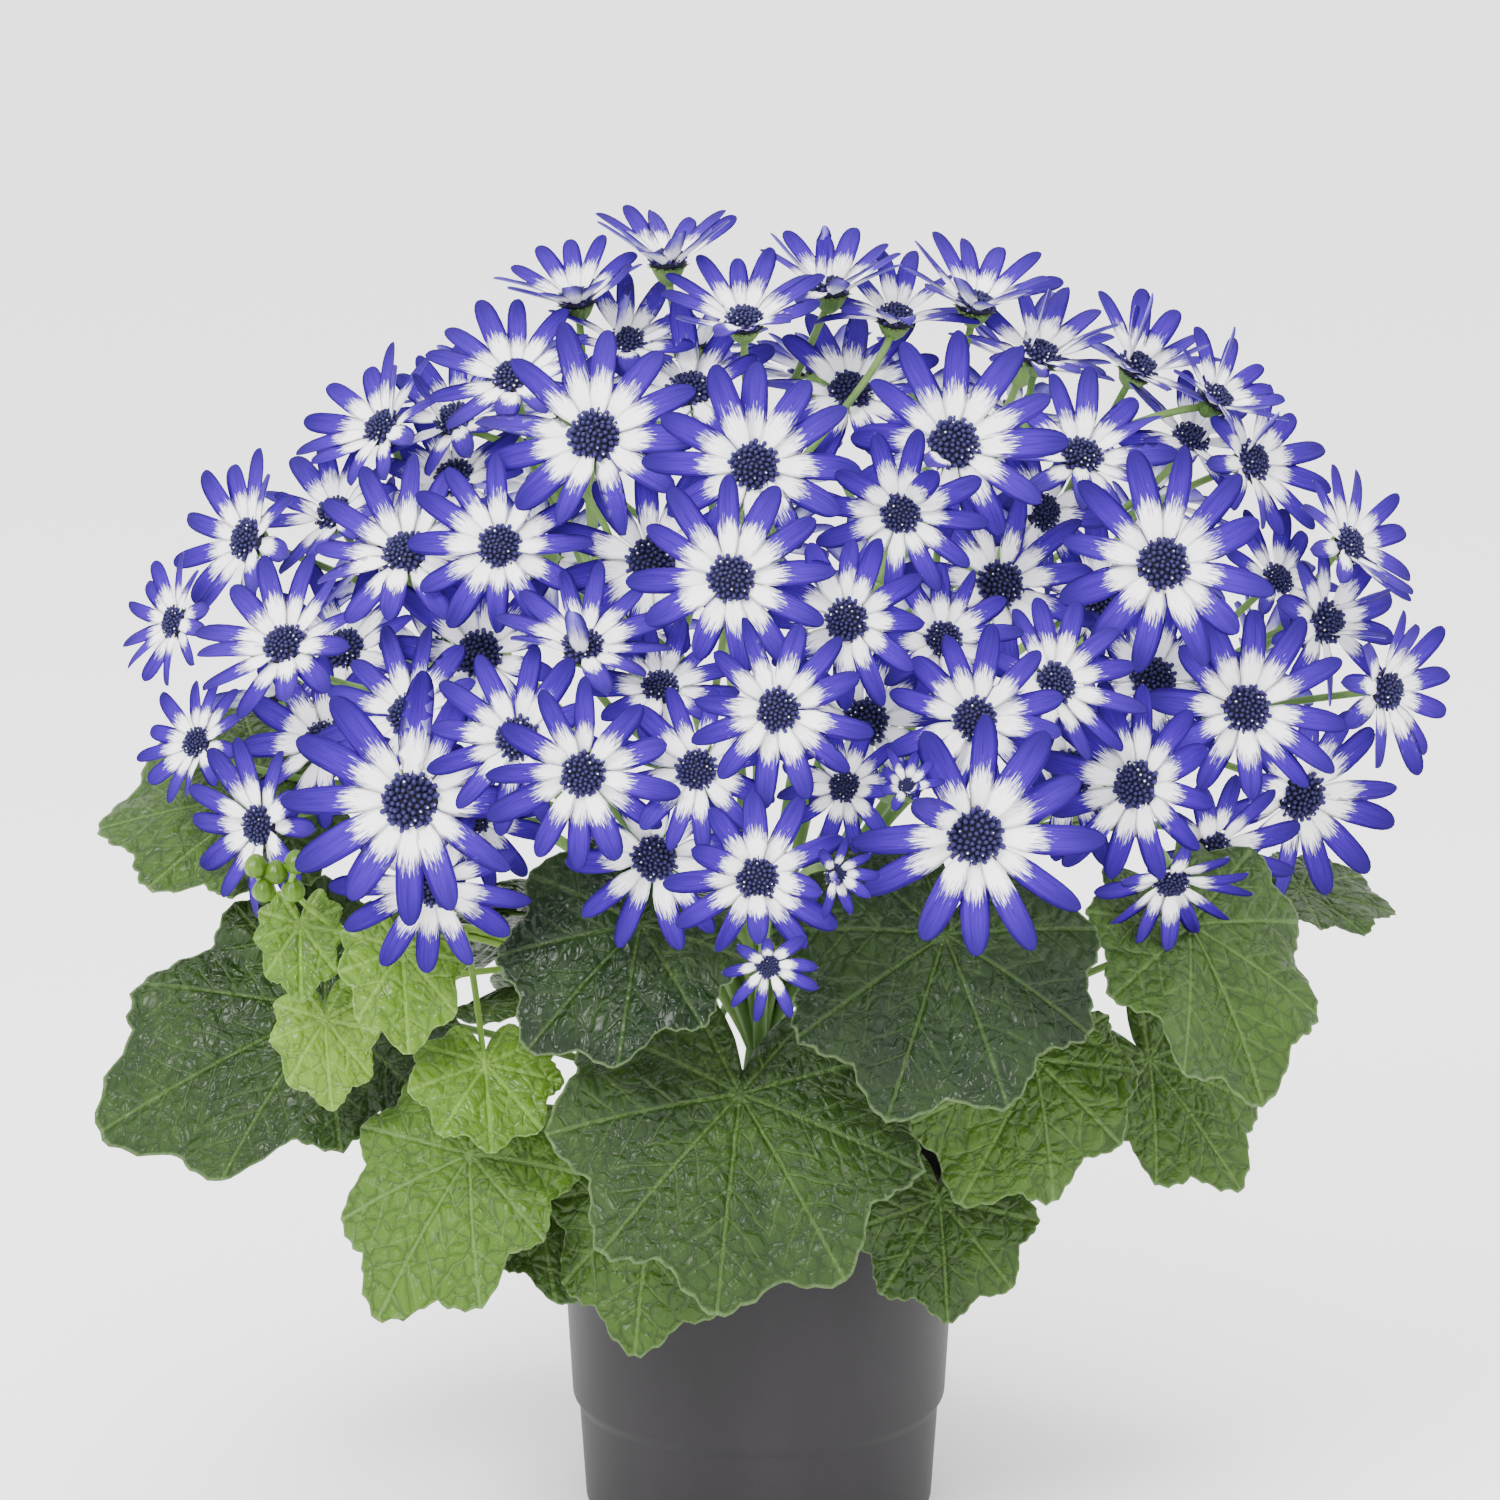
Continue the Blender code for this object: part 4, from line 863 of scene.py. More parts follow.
for k, (base, tip, wide, facing, droop) in enumerate(SHOOT_LEAVES):
    leaf = Leaf(seen_at(*base), seen_at(*tip), wide, facing, droop, 80 + k)
    start = shoot_path[3 + k % 2]
    found = leaf
    for pitch, roll in swings:
        trial = leaf.turned(math.radians(pitch), math.radians(roll))
        stalk = tube(bezier(*shoot_stalk(start, trial), 4), SHOOT_STALK_RADII, 4)
        clear = is_clear(trial.shape(LEAF_THICK, CLEAR), obstacles + shoot_trees)
        if clear and is_clear(stalk, obstacles + shoot_trees):
            found = trial
            break
    stalk = tube(bezier(*shoot_stalk(start, found), 4), SHOOT_STALK_RADII, 4)
    shoot_shapes += [found.shape(), stalk]
    shoot_leaves.append((found, bezier(*shoot_stalk(start, found), 12)))
    shoot_trees.append(tree_of(found.shape()))
buds = np.array([seen_at(across, down, -0.118) for across, down in SHOOT_BUDS])
bud_path = np.concatenate([[fork, (fork + buds[0]) / 2 + np.array([0, 0, -0.004])], buds])
shoot_shapes.append(tube(bud_path, (0.0011,) * len(bud_path), 4))
shoot_shapes += [ball(bud, BUD_RADIUS) for bud in buds]
for shape in shoot_shapes:
    obstacles.append(tree_of(shape))


# The shoot's fine shapes: the same leaves, stalks and buds with more points,
# made into one piece.
def smooth_path(path, count):
    """The path resampled evenly on a curve through its points: each stretch is
    a cubic whose ends lean along the neighbours."""
    path = np.asarray(path, float)
    lean = np.gradient(path, axis=0)
    spots = np.linspace(0, len(path) - 1, count)
    k = np.minimum(spots.astype(int), len(path) - 2)
    t = (spots - k)[:, None]
    a = path[k]
    b = path[k + 1]
    return (
        (2 * t**3 - 3 * t**2 + 1) * a + (t**3 - 2 * t**2 + t) * lean[k]
        + (3 * t**2 - 2 * t**3) * b + (t**3 - t**2) * lean[k + 1]
    )


def toned(points, faces, tone, spot=(0.004, 0.0, 0.2)):
    """A shape of one brightness, coloured as one spot of a blade."""
    count = len(points)
    return points, faces, np.tile([spot], (count, 1)), np.tile([[tone, 0, 0]], (count, 1))


young_skin = leaf_finish("young_leaf_skin", (0.030, 0.075, 0.006), (0.115, 0.225, 0.016), 0.28)
parts = []
for k, (leaf, path) in enumerate(shoot_leaves):
    points, flat, upper, lower, rim = blade(leaf, 112, 16, 5.7 * k + 2)
    tone = np.tile([[0.45 + 0.15 * (k % 3), 0.5, 0]], (len(points), 1))
    parts.append((points, blade_faces(upper, lower, rim), flat, tone))
    parts.append(toned(*round_rod(path, np.linspace(0.0012, 0.0010, len(path)), 8), 0.9))
shoot_radii = np.linspace(0.0016, 0.0013, 24)
parts.append(toned(*round_rod(smooth_path(shoot_path, 24), shoot_radii, 10), 0.7))
parts.append(toned(*round_rod(smooth_path(bud_path, 30), 0.0010, 8), 0.8))


BUD_RINGS = 13
BUD_SIDES = 30


def bud_shape(middle, radius, seed):
    """A round flower bud: a ball drawn in at the top, ribbed by its ten
    closed scales, with a small flat at each end."""
    up = np.linspace(-1.4, 1.4, BUD_RINGS)[:, None]
    turn = (2 * math.pi * np.arange(BUD_SIDES) / BUD_SIDES)[None, :]
    wide = np.cos(up) * (1 + 0.06 * np.cos(10 * turn + seed)) * (1 - 0.12 * np.sin(up))
    x = wide * np.cos(turn)
    y = wide * np.sin(turn)
    z = np.sin(up) * (1.08 - 0.10 * np.cos(up) ** 4) + 0 * turn
    points = middle + radius * np.stack([x, y, z], -1).reshape(-1, 3)
    low = np.arange(BUD_SIDES)[None]
    top = low + (BUD_RINGS - 1) * BUD_SIDES
    return points, [ring_faces(BUD_RINGS, BUD_SIDES), top, low[:, ::-1]]


for k, bud in enumerate(buds):
    parts.append(toned(*bud_shape(bud, BUD_RADIUS, k), 0.55, (0.01, 0.002, 0.3)))


def gathered(parts):
    """Points, faces and marks of several shapes as one piece."""
    start = 0
    faces = []
    for points, own, *_ in parts:
        faces += [f + start for f in own]
        start += len(points)
    return np.concatenate([p[0] for p in parts]), faces, [
        np.concatenate([p[m] for p in parts]) for m in range(2, len(parts[0]))
    ]


points, faces, (flat, tone) = gathered(parts)
make_piece("side_shoot_growth", points, faces, young_skin, ["side_shoot"],
           {"blade": flat, "tone": tone})


# Blooms: two-tone daisies round a navy disc, in sprays that fork from the
# branches of the stem. First come their places, facings and stalks, worked
# out as for the solids, so that each fine bloom stands where its solid does.
FRONT_PETALS = 9
BACK_PETALS = 7
INNER_PETALS = 7
YOUNG_SOLID_PETALS = 8
PETAL_THICK = 0.0016
DISC_SHARE = 0.20
VALLEY_SHARE = 0.47
SHOULDER_SHARE = 0.79
PETAL_HALF_WIDTH = 0.118
CUP = math.radians(13)
TOP_CUP = math.radians(20)
LAYER_STEP = 0.0075
SPRAYS = 24
HUB_SHARE = 0.60
HUB_RADIUS = 0.0026
PEDICEL_RADIUS = 0.0012
BRANCH_RADIUS = 0.0020
CALYX_DEPTH = 0.0062

# Each bloom: pixels across and down in the front view, its width in pixels,
# the way it faces off the line of sight (right, up), and how many layers it
# sits below the outer blooms.
FRONT_BLOOMS = (
    (595, 437, 250, -0.15, 0.30, 0),
    (754, 467, 230, 0.00, 0.15, 0),
    (953, 445, 245, 0.10, 0.20, 0),
    (901, 513, 190, 0.00, -0.10, 1),
    (1081, 457, 200, 0.10, 0.70, 1),
    (1043, 511, 180, 0.80, 0.10, 3),
    (1162, 565, 245, 0.10, 0.15, 0),
    (1251, 462, 190, 0.90, 0.30, 1),
    (1190, 440, 180, 0.50, 0.90, 2),
    (1325, 622, 200, 0.80, 0.00, 1),
    (1276, 580, 160, 0.70, 0.60, 3),
    (1348, 545, 180, 1.10, 0.40, 2),
    (1246, 709, 225, 0.20, 0.10, 0),
    (1300, 795, 230, 0.50, -0.30, 1),
    (1138, 785, 225, -0.70, 0.10, 1),
    (1213, 850, 190, 0.50, -0.60, 2),
    (1170, 880, 170, 0.10, -1.10, 1),
    (975, 836, 265, 0.05, -0.15, 0),
    (975, 719, 205, 0.00, 0.00, 1),
    (1054, 684, 200, 0.50, 0.30, 2),
    (943, 639, 170, 0.10, 0.10, 3),
    (848, 620, 205, -0.30, -0.10, 1),
    (731, 579, 225, 0.00, 0.15, 0),
    (777, 710, 205, 0.10, -0.05, 0),
    (697, 770, 190, -0.20, 0.05, 1),
    (583, 773, 215, 0.05, -0.35, 0),
    (518, 739, 205, -0.15, 0.10, 1),
    (583, 647, 195, 0.00, 0.80, 2),
    (660, 688, 175, 0.10, 0.70, 3),
    (500, 547, 205, -0.10, 0.20, 1),
    (406, 554, 215, -0.30, 0.60, 0),
    (335, 515, 185, -0.50, 0.80, 2),
    (285, 646, 205, -0.40, 0.70, 0),
    (249, 540, 200, -1.00, 0.30, 1),
    (198, 743, 150, -0.70, 0.40, 0),
    (411, 801, 270, -0.15, 0.00, 0),
    (409, 715, 200, -0.50, 0.60, 2),
    (432, 884, 210, -0.05, -0.45, 1),
    (473, 815, 170, 0.20, -0.20, 4),
    (757, 878, 200, 0.00, -0.15, 0),
    (844, 787, 150, 0.10, 0.20, 3),
    (261, 825, 190, -0.80, -0.20, 1),
    (514, 379, 200, -0.10, 0.80, 1),
    (626, 343, 180, 0.10, 1.00, 2),
    (455, 421, 190, -0.50, 0.90, 2),
    (383, 428, 185, -0.80, 0.80, 1),
    (577, 300, 175, -0.20, 1.80, 0),
    (744, 322, 190, 0.00, 1.30, 1),
    (668, 262, 180, -0.10, 2.60, 1),
    (830, 290, 185, 0.10, 2.40, 0),
    (895, 318, 180, 0.20, 1.50, 2),
    (975, 305, 185, 0.30, 1.80, 1),
    (1040, 356, 190, 0.40, 1.20, 0),
    (1137, 368, 190, 0.70, 1.30, 1),
    (1215, 400, 165, 1.00, 1.10, 0),
    (175, 622, 150, -1.20, 0.30, 2),
)
# Half-open flowers, the same way, with the steepness of their cup in degrees.
YOUNG_BLOOMS = (
    (907, 787, 84, 0.10, 0.30, 0, 42),
    (836, 874, 92, 0.20, -0.20, 0, 40),
    (768, 966, 105, 0.10, -0.30, -1, 30),
)
# Rings of blooms round the back: rise from the dome's middle, first turn and
# step from one to the next, all in degrees, and how many.
BACK_RINGS = (
    (8, 14, 30.4, 6),
    (31, 27, 30.4, 6),
    (54, 27, 25.2, 6),
    (20, 29, 30.4, 5),
    (43, 42, 40, 3),
)
BACK_BLOOMS = sum(ring[3] for ring in BACK_RINGS)
# Blooms deeper in the dome, seen in part between the outer ones, the same way.
INNER_BLOOMS = (
    (652, 562, 213, 0.00, 0.10, 4),
    (690, 392, 208, -0.10, 0.80, 4),
    (850, 392, 208, 0.10, 0.70, 4),
    (1000, 585, 208, 0.10, 0.20, 5),
    (480, 655, 208, -0.20, 0.30, 4),
    (325, 742, 198, -0.50, 0.30, 4),
    (1152, 680, 208, 0.20, 0.20, 4),
    (1072, 772, 198, 0.10, 0.00, 5),
    (865, 722, 198, 0.00, 0.00, 5),
    (655, 858, 193, -0.10, -0.20, 3),
    (1385, 690, 188, 0.90, 0.10, 2),
    (455, 480, 198, -0.40, 0.60, 5),
    (1100, 600, 198, 0.20, 0.30, 6),
    (345, 650, 198, -0.40, 0.40, 5),
)


def knob(middle, radius):
    """A fork's small swelling with six corners and eight faces."""
    ends = [(1, 0, 0), (0, 1, 0), (-1, 0, 0), (0, -1, 0), (0, 0, 1), (0, 0, -1)]
    faces = []
    for k in range(4):
        faces += [(k, (k + 1) % 4, 4), ((k + 1) % 4, k, 5)]
    return np.array(ends, float) * radius + middle, faces


class Bloom:
    """One flower: where its disc lies, the way it faces, and each petal's
    steepness, length and turn about the disc."""

    def __init__(self, place, facing, radius, petals, cup, seed):
        rng = random.Random(seed)
        self.place = np.asarray(place, float)
        self.facing = unit(facing)
        self.radius = radius
        self.count = petals
        self.side, self.other = side_frame(self.facing)
        self.start = rng.uniform(0, 2 * math.pi)
        self.cup = cup
        self.lifts = [cup + math.radians(rng.uniform(-5, 5)) for _ in range(petals)]
        self.lengths = [rng.uniform(0.92, 1.0) for _ in range(petals)]

    def recount(self, petals, seed):
        """Gives the bloom this many petals, with lifts and lengths anew."""
        rng = random.Random(seed)
        self.count = petals
        self.lifts = [self.cup + math.radians(rng.uniform(-8, 9)) for _ in range(petals)]
        self.lengths = [rng.uniform(0.86, 1.0) for _ in range(petals)]

    def spot(self, angle, out, lift, across=0.0, deep=0.0):
        """A point out along a petal that rises from the disc's edge."""
        way = math.cos(angle) * self.side + math.sin(angle) * self.other
        turn = -math.sin(angle) * self.side + math.cos(angle) * self.other
        start = DISC_SHARE * self.radius
        run = max(out - start, 0.0)
        flat = min(out, start) + run * math.cos(lift)
        rise = run * math.sin(lift) - deep * math.cos(lift)
        flat += deep * math.sin(lift)
        return self.place + flat * way + rise * self.facing + across * turn

    def petal_points(self, j, lift, length, grow=0.0):
        """Low shoulder, tip, high shoulder and keel of one petal."""
        angle = self.start + 2 * math.pi * j / self.count
        wide = PETAL_HALF_WIDTH * self.radius + grow
        reach = self.radius * length
        return (
            self.spot(angle, SHOULDER_SHARE * reach, lift, -wide),
            self.spot(angle, reach + grow, lift),
            self.spot(angle, SHOULDER_SHARE * reach, lift, wide),
            self.spot(angle, 0.60 * reach, lift, 0.0, PETAL_THICK + grow),
        )

    def valley(self, j):
        """The point between two petals up to which they are joined."""
        angle = self.start + 2 * math.pi * (j - 0.5) / self.count
        return self.spot(angle, VALLEY_SHARE * self.radius, self.cup)

    def rim(self, j):
        """A point on the disc's edge, between two petals."""
        angle = self.start + 2 * math.pi * (j - 0.5) / self.count
        return self.spot(angle, DISC_SHARE * self.radius, 0.0)

    def petal_test(self, j, lift, length):
        """One petal's free part, a little larger, as a closed shape."""
        low, tip, high, keel = self.petal_points(j, lift, length, CLEAR)
        a = self.valley(j)
        e = self.valley(j + 1)
        foot = self.place - self.facing * 0.002
        points = np.array([a, low, tip, high, e, keel, foot])
        raised = points + self.facing * CLEAR
        raised[5] = keel
        faces = [(0, 1, 3), (0, 3, 4), (1, 2, 3), (5, 1, 0), (5, 2, 1)]
        faces += [(5, 3, 2), (5, 4, 3), (5, 6, 4), (5, 0, 6), (6, 0, 4)]
        return raised, faces

    def shape(self):
        """The whole bloom: the disc's top, the foot and six points a petal."""
        points = [self.place + self.facing * 0.12 * self.radius, self.foot()]
        n = self.count
        for j in range(n):
            points += [self.rim(j), self.valley(j)]
            points += list(self.petal_points(j, self.lifts[j], self.lengths[j]))
        faces = []
        for j in range(n):
            base = 2 + 6 * j
            after = 2 + 6 * ((j + 1) % n)
            f, a, b, c, d, keel = range(base, base + 6)
            g = after
            e = after + 1
            faces += [(0, f, g), (f, a, e), (f, e, g), (a, b, d), (a, d, e), (b, c, d)]
            faces += [(keel, b, a), (keel, c, b), (keel, d, c), (keel, e, d)]
            faces += [(keel, 1, e), (keel, a, 1)]
        return np.array(points), faces

    def foot(self):
        """The lowest point of the green cup, where the stalk comes in."""
        return self.place - self.facing * CALYX_DEPTH

    def core(self, grow=0.0):
        """The disc and the joined petal feet, which nothing else may enter."""
        top = self.place + self.facing * (0.13 * self.radius + grow)
        foot = self.foot() - self.facing * (0.0005 + grow)
        ring = [self.valley(j) for j in range(self.count)]
        ring = [v + unit(v - self.place) * (0.0008 + grow) for v in ring]
        faces = []
        for j in range(self.count):
            after = (j + 1) % self.count
            faces += [(0, 2 + j, 2 + after), (1, 2 + after, 2 + j)]
        return np.array([top, foot] + ring), faces


def faced(right, up):
    """The way a bloom faces that leans this much off the line of sight."""
    return eye_back + right * np.array([1.0, 0, 0]) + up * eye_up


# Blooms: the front ones where the plant shows them, the back ones by rule.
blooms = []
for k, (across, down, width, right, up, layer) in enumerate(FRONT_BLOOMS):
    place = on_dome(across, down, 0.010 + LAYER_STEP * layer)
    near = VIEW_DISTANCE / (VIEW_DISTANCE + (eye_back @ (np.array(VIEW_MIDDLE) - place)))
    radius = 0.5 * width * VIEW_STEP / near
    cup = CUP + TOP_CUP * min(max(up - 0.6, 0.0), 1.0)
    blooms.append(Bloom(place, faced(right, up), radius, FRONT_PETALS, cup, 100 + k))
for k, (across, down, width, right, up, layer, cup) in enumerate(YOUNG_BLOOMS):
    place = on_dome(across, down, 0.004 + LAYER_STEP * layer)
    radius = 0.5 * width * VIEW_STEP
    cup = math.radians(cup)
    blooms.append(Bloom(place, faced(right, up), radius, YOUNG_SOLID_PETALS, cup, 200 + k))
for k, (across, down, width, right, up, layer) in enumerate(INNER_BLOOMS):
    place = on_dome(across, down, 0.010 + LAYER_STEP * layer)
    radius = 0.5 * width * VIEW_STEP
    blooms.append(Bloom(place, faced(right, up), radius, INNER_PETALS, CUP, 400 + k))
back = 0
for ring_rise, ring_start, ring_step, ring_blooms in BACK_RINGS:
    for spot in range(ring_blooms):
        rng = random.Random(300 + back)
        rise = math.radians(ring_rise + rng.uniform(-4, 4))
        angle = math.radians(ring_start + ring_step * spot)
        level = math.cos(rise)
        out = np.array([math.cos(angle) * level, math.sin(angle) * level, math.sin(rise)])
        inner = 0.010 + LAYER_STEP * ((back * 2) % 3)
        size = np.array([DOME_WIDE - inner, DOME_WIDE - inner, DOME_TALL - inner])
        place = np.array([0, 0, DOME_MIDDLE]) + out * size
        sway = np.array([rng.gauss(0, 1) for _ in range(3)])
        facing = unit(out / size) + np.array([0, 0, 0.25]) + 0.12 * sway
        blooms.append(Bloom(place, facing, rng.uniform(0.031, 0.037), BACK_PETALS, CUP, 300 + back))
        back += 1

# A bloom whose middle would enter another's moves along the line of sight, or
# to and from the dome's middle if it is one of the back ones.
middles = []
for i, bloom in enumerate(blooms):
    home = bloom.place
    away = eye_back if i < len(blooms) - BACK_BLOOMS else unit(home - np.array([0, 0, DOME_MIDDLE]))
    for offset in (0, -6, 6, -12, -18, 11, -24, 16, -30, -36, -42):
        bloom.place = home + away * offset * 0.001
        if is_clear(bloom.core(0.0012), middles + obstacles):
            break
    else:
        print("middle of bloom", i, "is not clear")
    middles.append(tree_of(bloom.core()))

# Sprays: neighbouring blooms share a stalk. The heads are picked one after
# another, each as far as can be from those before it.
places = np.array([b.place for b in blooms])
heads = [0]
while len(heads) < SPRAYS:
    away = np.min([np.linalg.norm(places - places[h], axis=1) for h in heads], axis=0)
    heads.append(int(np.argmax(away)))
spray_of = [int(np.argmin([np.linalg.norm(p - places[h]) for h in heads])) for p in places]
heart = np.array([0.0, 0.0, DOME_MIDDLE - 0.045])
hubs = []
for s in range(SPRAYS):
    own = places[[i for i in range(len(blooms)) if spray_of[i] == s]]
    hubs.append(heart + (own.mean(axis=0) - heart) * HUB_SHARE)
hubs = np.array(hubs)

# Branches: each reaches from the top of the stem to its spray.
branch_ends = (BRANCH_RADIUS * 1.25, BRANCH_RADIUS * 0.9)
branch_paths = []
branch_trees = []
for s in range(SPRAYS):
    top = np.array([0.0, 0.0, TRUNK_TOP - 0.010])
    way = unit(hubs[s] - heart)
    end = hubs[s] - way * (HUB_RADIUS * 1.15 + GAP)
    bend = end - way * 0.35 * np.linalg.norm(end - top)
    path = bezier(top, top + np.array([0, 0, 0.025]), bend, end, 4)
    rod = tube(path, np.linspace(*branch_ends, 4), 4)
    branch_paths.append(bezier(top, top + np.array([0, 0, 0.025]), bend, end, 18))
    branch_trees.append(tree_of(rod))

# Pedicels: each bloom's own stalk, bent clear of the other blooms' middles
# and of the stalks and branches of other sprays.
pedicels = []
guards = [(spray_of[i], tree_of(b.core())) for i, b in enumerate(blooms)]
placed = []
for i, bloom in enumerate(blooms):
    hub = hubs[spray_of[i]]
    end = bloom.place - bloom.facing * (CALYX_DEPTH * 0.55)
    long = np.linalg.norm(end - hub)
    others = [t for k, (s, t) in enumerate(guards) if k != i]
    others += [t for s, t in placed if s != spray_of[i]]
    others += obstacles + [t for s, t in enumerate(branch_trees) if s != spray_of[i]]
    side, other = side_frame(end - hub)
    best = None
    for push in (0.0, 0.006, 0.012, 0.018, 0.026, 0.034, 0.044):
        for turn_k in range(12 if push else 1):
            angle = 2 * math.pi * turn_k / 12
            aside = push * (math.cos(angle) * side + math.sin(angle) * other)
            first = hub + unit(hub - heart) * 0.20 * long + aside
            second = end - bloom.facing * 0.38 * long + aside
            start = hub + unit(first + 0.5 * second - 1.5 * hub) * HUB_RADIUS * 0.55
            path = bezier(start, first, second, end, 4)
            rod = tube(path, (PEDICEL_RADIUS,) * 4, 4)
            wide = tube(path, (PEDICEL_RADIUS + CLEAR,) * 4, 4)
            clear = is_clear(wide, others)
            if best is None or clear:
                best = rod
                curve = bezier(start, first, second, end, 14)
            if clear:
                break
        else:
            continue
        break
    else:
        print("stalk of bloom", i, "is not clear")
    pedicels.append(curve)
    placed.append((spray_of[i], tree_of(best)))
hub_knobs = [knob(h, HUB_RADIUS * 1.15) for h in hubs]


# The real blooms have more petals than the solids, so each kind of bloom gets
# its own count.
FULL_PETALS = 12
INSIDE_PETALS = 11
YOUNG_PETALS = 9
for i, bloom in enumerate(blooms):
    petals = FULL_PETALS if i < len(FRONT_BLOOMS) else INSIDE_PETALS
    if len(FRONT_BLOOMS) <= i < len(FRONT_BLOOMS) + len(YOUNG_BLOOMS):
        petals = YOUNG_PETALS
    bloom.recount(petals, 500 + i)

# Petals keep clear of the fine stalks and branches, which bend more smoothly
# than the solids' straight lengths.
placed = [
    (spray_of[i], tree_of(tube(path, (PEDICEL_RADIUS * 1.1,) * len(path), 6)))
    for i, path in enumerate(pedicels)
]
branch_trees = [
    tree_of(tube(path, np.linspace(*branch_ends, len(path)), 6)) for path in branch_paths
]

# Petals: each keeps its own lift unless it would cross a neighbour, and then
# rises, dips or shortens until it is clear.
fixed = guards + placed + [(s, tree_of(k)) for s, k in enumerate(hub_knobs)]
tries = [(0, 1.0)]
for length in (1.0, 0.88, 0.76, 0.64, 0.56):
    for swing in (6, -6, 12, -12, 18, -18, 25, -25, 32, 40, -33, 50, 60, 70):
        tries.append((swing, length))
done = []
unclear = 0
for i, bloom in enumerate(blooms):
    near = [t for k, (_, t) in enumerate(fixed) if k not in (i, len(blooms) + i)]
    near += [t for t, p, r in done if np.linalg.norm(p - bloom.place) < r + bloom.radius + 0.004]
    near += obstacles + branch_trees
    for j in range(bloom.count):
        for swing, length in tries:
            lift = bloom.lifts[j] + math.radians(swing)
            long = bloom.lengths[j] * length
            if is_clear(bloom.petal_test(j, lift, long), near):
                bloom.lifts[j] = lift
                bloom.lengths[j] = long
                break
        else:
            unclear += 1
            bloom.lengths[j] *= 0.54
    done.append((tree_of(bloom.shape()), bloom.place, bloom.radius))
print("petals not clear:", unclear)


# Stem: a round green trunk that stands in the compost, its branches reaching
# up to the sprays. It is one fleshy growth, streaked upwards and finely rough.
stem_skin = Finish("stem_skin", Roughness=0.55, Specular_IOR_Level=0.3)
streaks = stem_skin.noise(60.0, 3.0, stem_skin.places((1, 1, 0.15)))
fuzz = stem_skin.noise(1500.0, 2.0)
stem_skin.paint(stem_skin.mix(streaks.ramp(0.3, 0.75), (0.050, 0.120, 0.022), (0.165, 0.270, 0.070)))
stem_skin.bump(fuzz, 0.0002, 0.6)
trunk_path = np.linspace([0, 0, SOIL_TOP - SOIL_HOLE_DEPTH + GAP], [0, 0, TRUNK_TOP], 16)
trunk_radii = TRUNK_RADIUS * np.append(np.full(13, 0.99), (0.92, 0.82, 0.70))
parts = [round_rod(trunk_path, trunk_radii, 24)]
for path in branch_paths:
    parts.append(round_rod(path, np.linspace(*branch_ends, len(path)), 10))
points, faces, _ = gathered(parts)
make_piece("stem_and_branches", points, faces, stem_skin, ["stems"])

# Stalks of the blooms: thin rods that fork from a knob on each branch, each
# ending in a green cup of narrow scales that holds the petals.
CUP_SCALES = 13


def flower_cup(bloom):
    """A bloom's green cup: rings that widen from the stalk to just past the
    disc's edge, ribbed by its scales, which end in free points."""
    n = CUP_SCALES * 4
    turns = 2 * math.pi * np.arange(n) / n
    wide = DISC_SHARE * bloom.radius
    steps = np.array(
        [(0.10, -1.30), (0.34, -1.16), (0.62, -0.86), (0.80, -0.48), (0.95, -0.12), (1.22, 0.02)]
    )
    rib = 1 + 0.05 * np.cos(CUP_SCALES * turns)
    out = wide * steps[:, :1] * rib
    out[-1] = wide * (1.02 + 0.24 * np.cos(CUP_SCALES * turns))
    rise = steps[:, 1:] * CALYX_DEPTH * 0.95 + 0 * turns
    rise[-1] = rise[-2] + (out[-1] - out[-2]) * math.sin(bloom.cup) * 0.9 - 0.0003
    way = np.cos(turns)[:, None] * bloom.side + np.sin(turns)[:, None] * bloom.other
    points = bloom.place + out[..., None] * way + (rise - 0.0006)[..., None] * bloom.facing
    points = np.concatenate([points.reshape(-1, 3), [bloom.place - 0.0004 * bloom.facing]])
    k = np.arange(n)
    last = (len(steps) - 1) * n
    lid = np.stack([np.full(n, len(points) - 1), last + k, last + (k + 1) % n], -1)
    foot = np.stack([(k[1:-1] + 1), k[1:-1], np.zeros(n - 2, int)], -1)
    return points, [ring_faces(len(steps), n), lid, foot]


# Petals: long rays, white at the foot and violet-blue from half their length,
# with pale lavender backs. They spread from under the disc in a shallow cup.
RAY_ROWS = np.array((0.0, 0.12, 0.28, 0.45, 0.62, 0.76, 0.86, 0.93, 0.975, 1.0))
RAY_ACROSS = np.array((-1.0, -0.5, 0.0, 0.5, 1.0, 0.0))
RAY_UNDER = np.array((0.0, 0.0, 0.0, 0.0, 0.0, 1.0))
RAY_THICK = 0.00040


def ray_width(t):
    """Half-width along a petal, as a share of its greatest: it widens from a
    narrow foot to the middle, then closes in a rounded, slightly blunt tip."""
    swell = 0.26 + 0.74 * np.sin(np.clip(t / 0.46, 0, 1) * math.pi / 2) ** 1.1
    close = np.clip((t - 0.50) / 0.50, 0, 1)
    return np.maximum(swell * (1 - close**3.6) ** 0.5, 0.14)


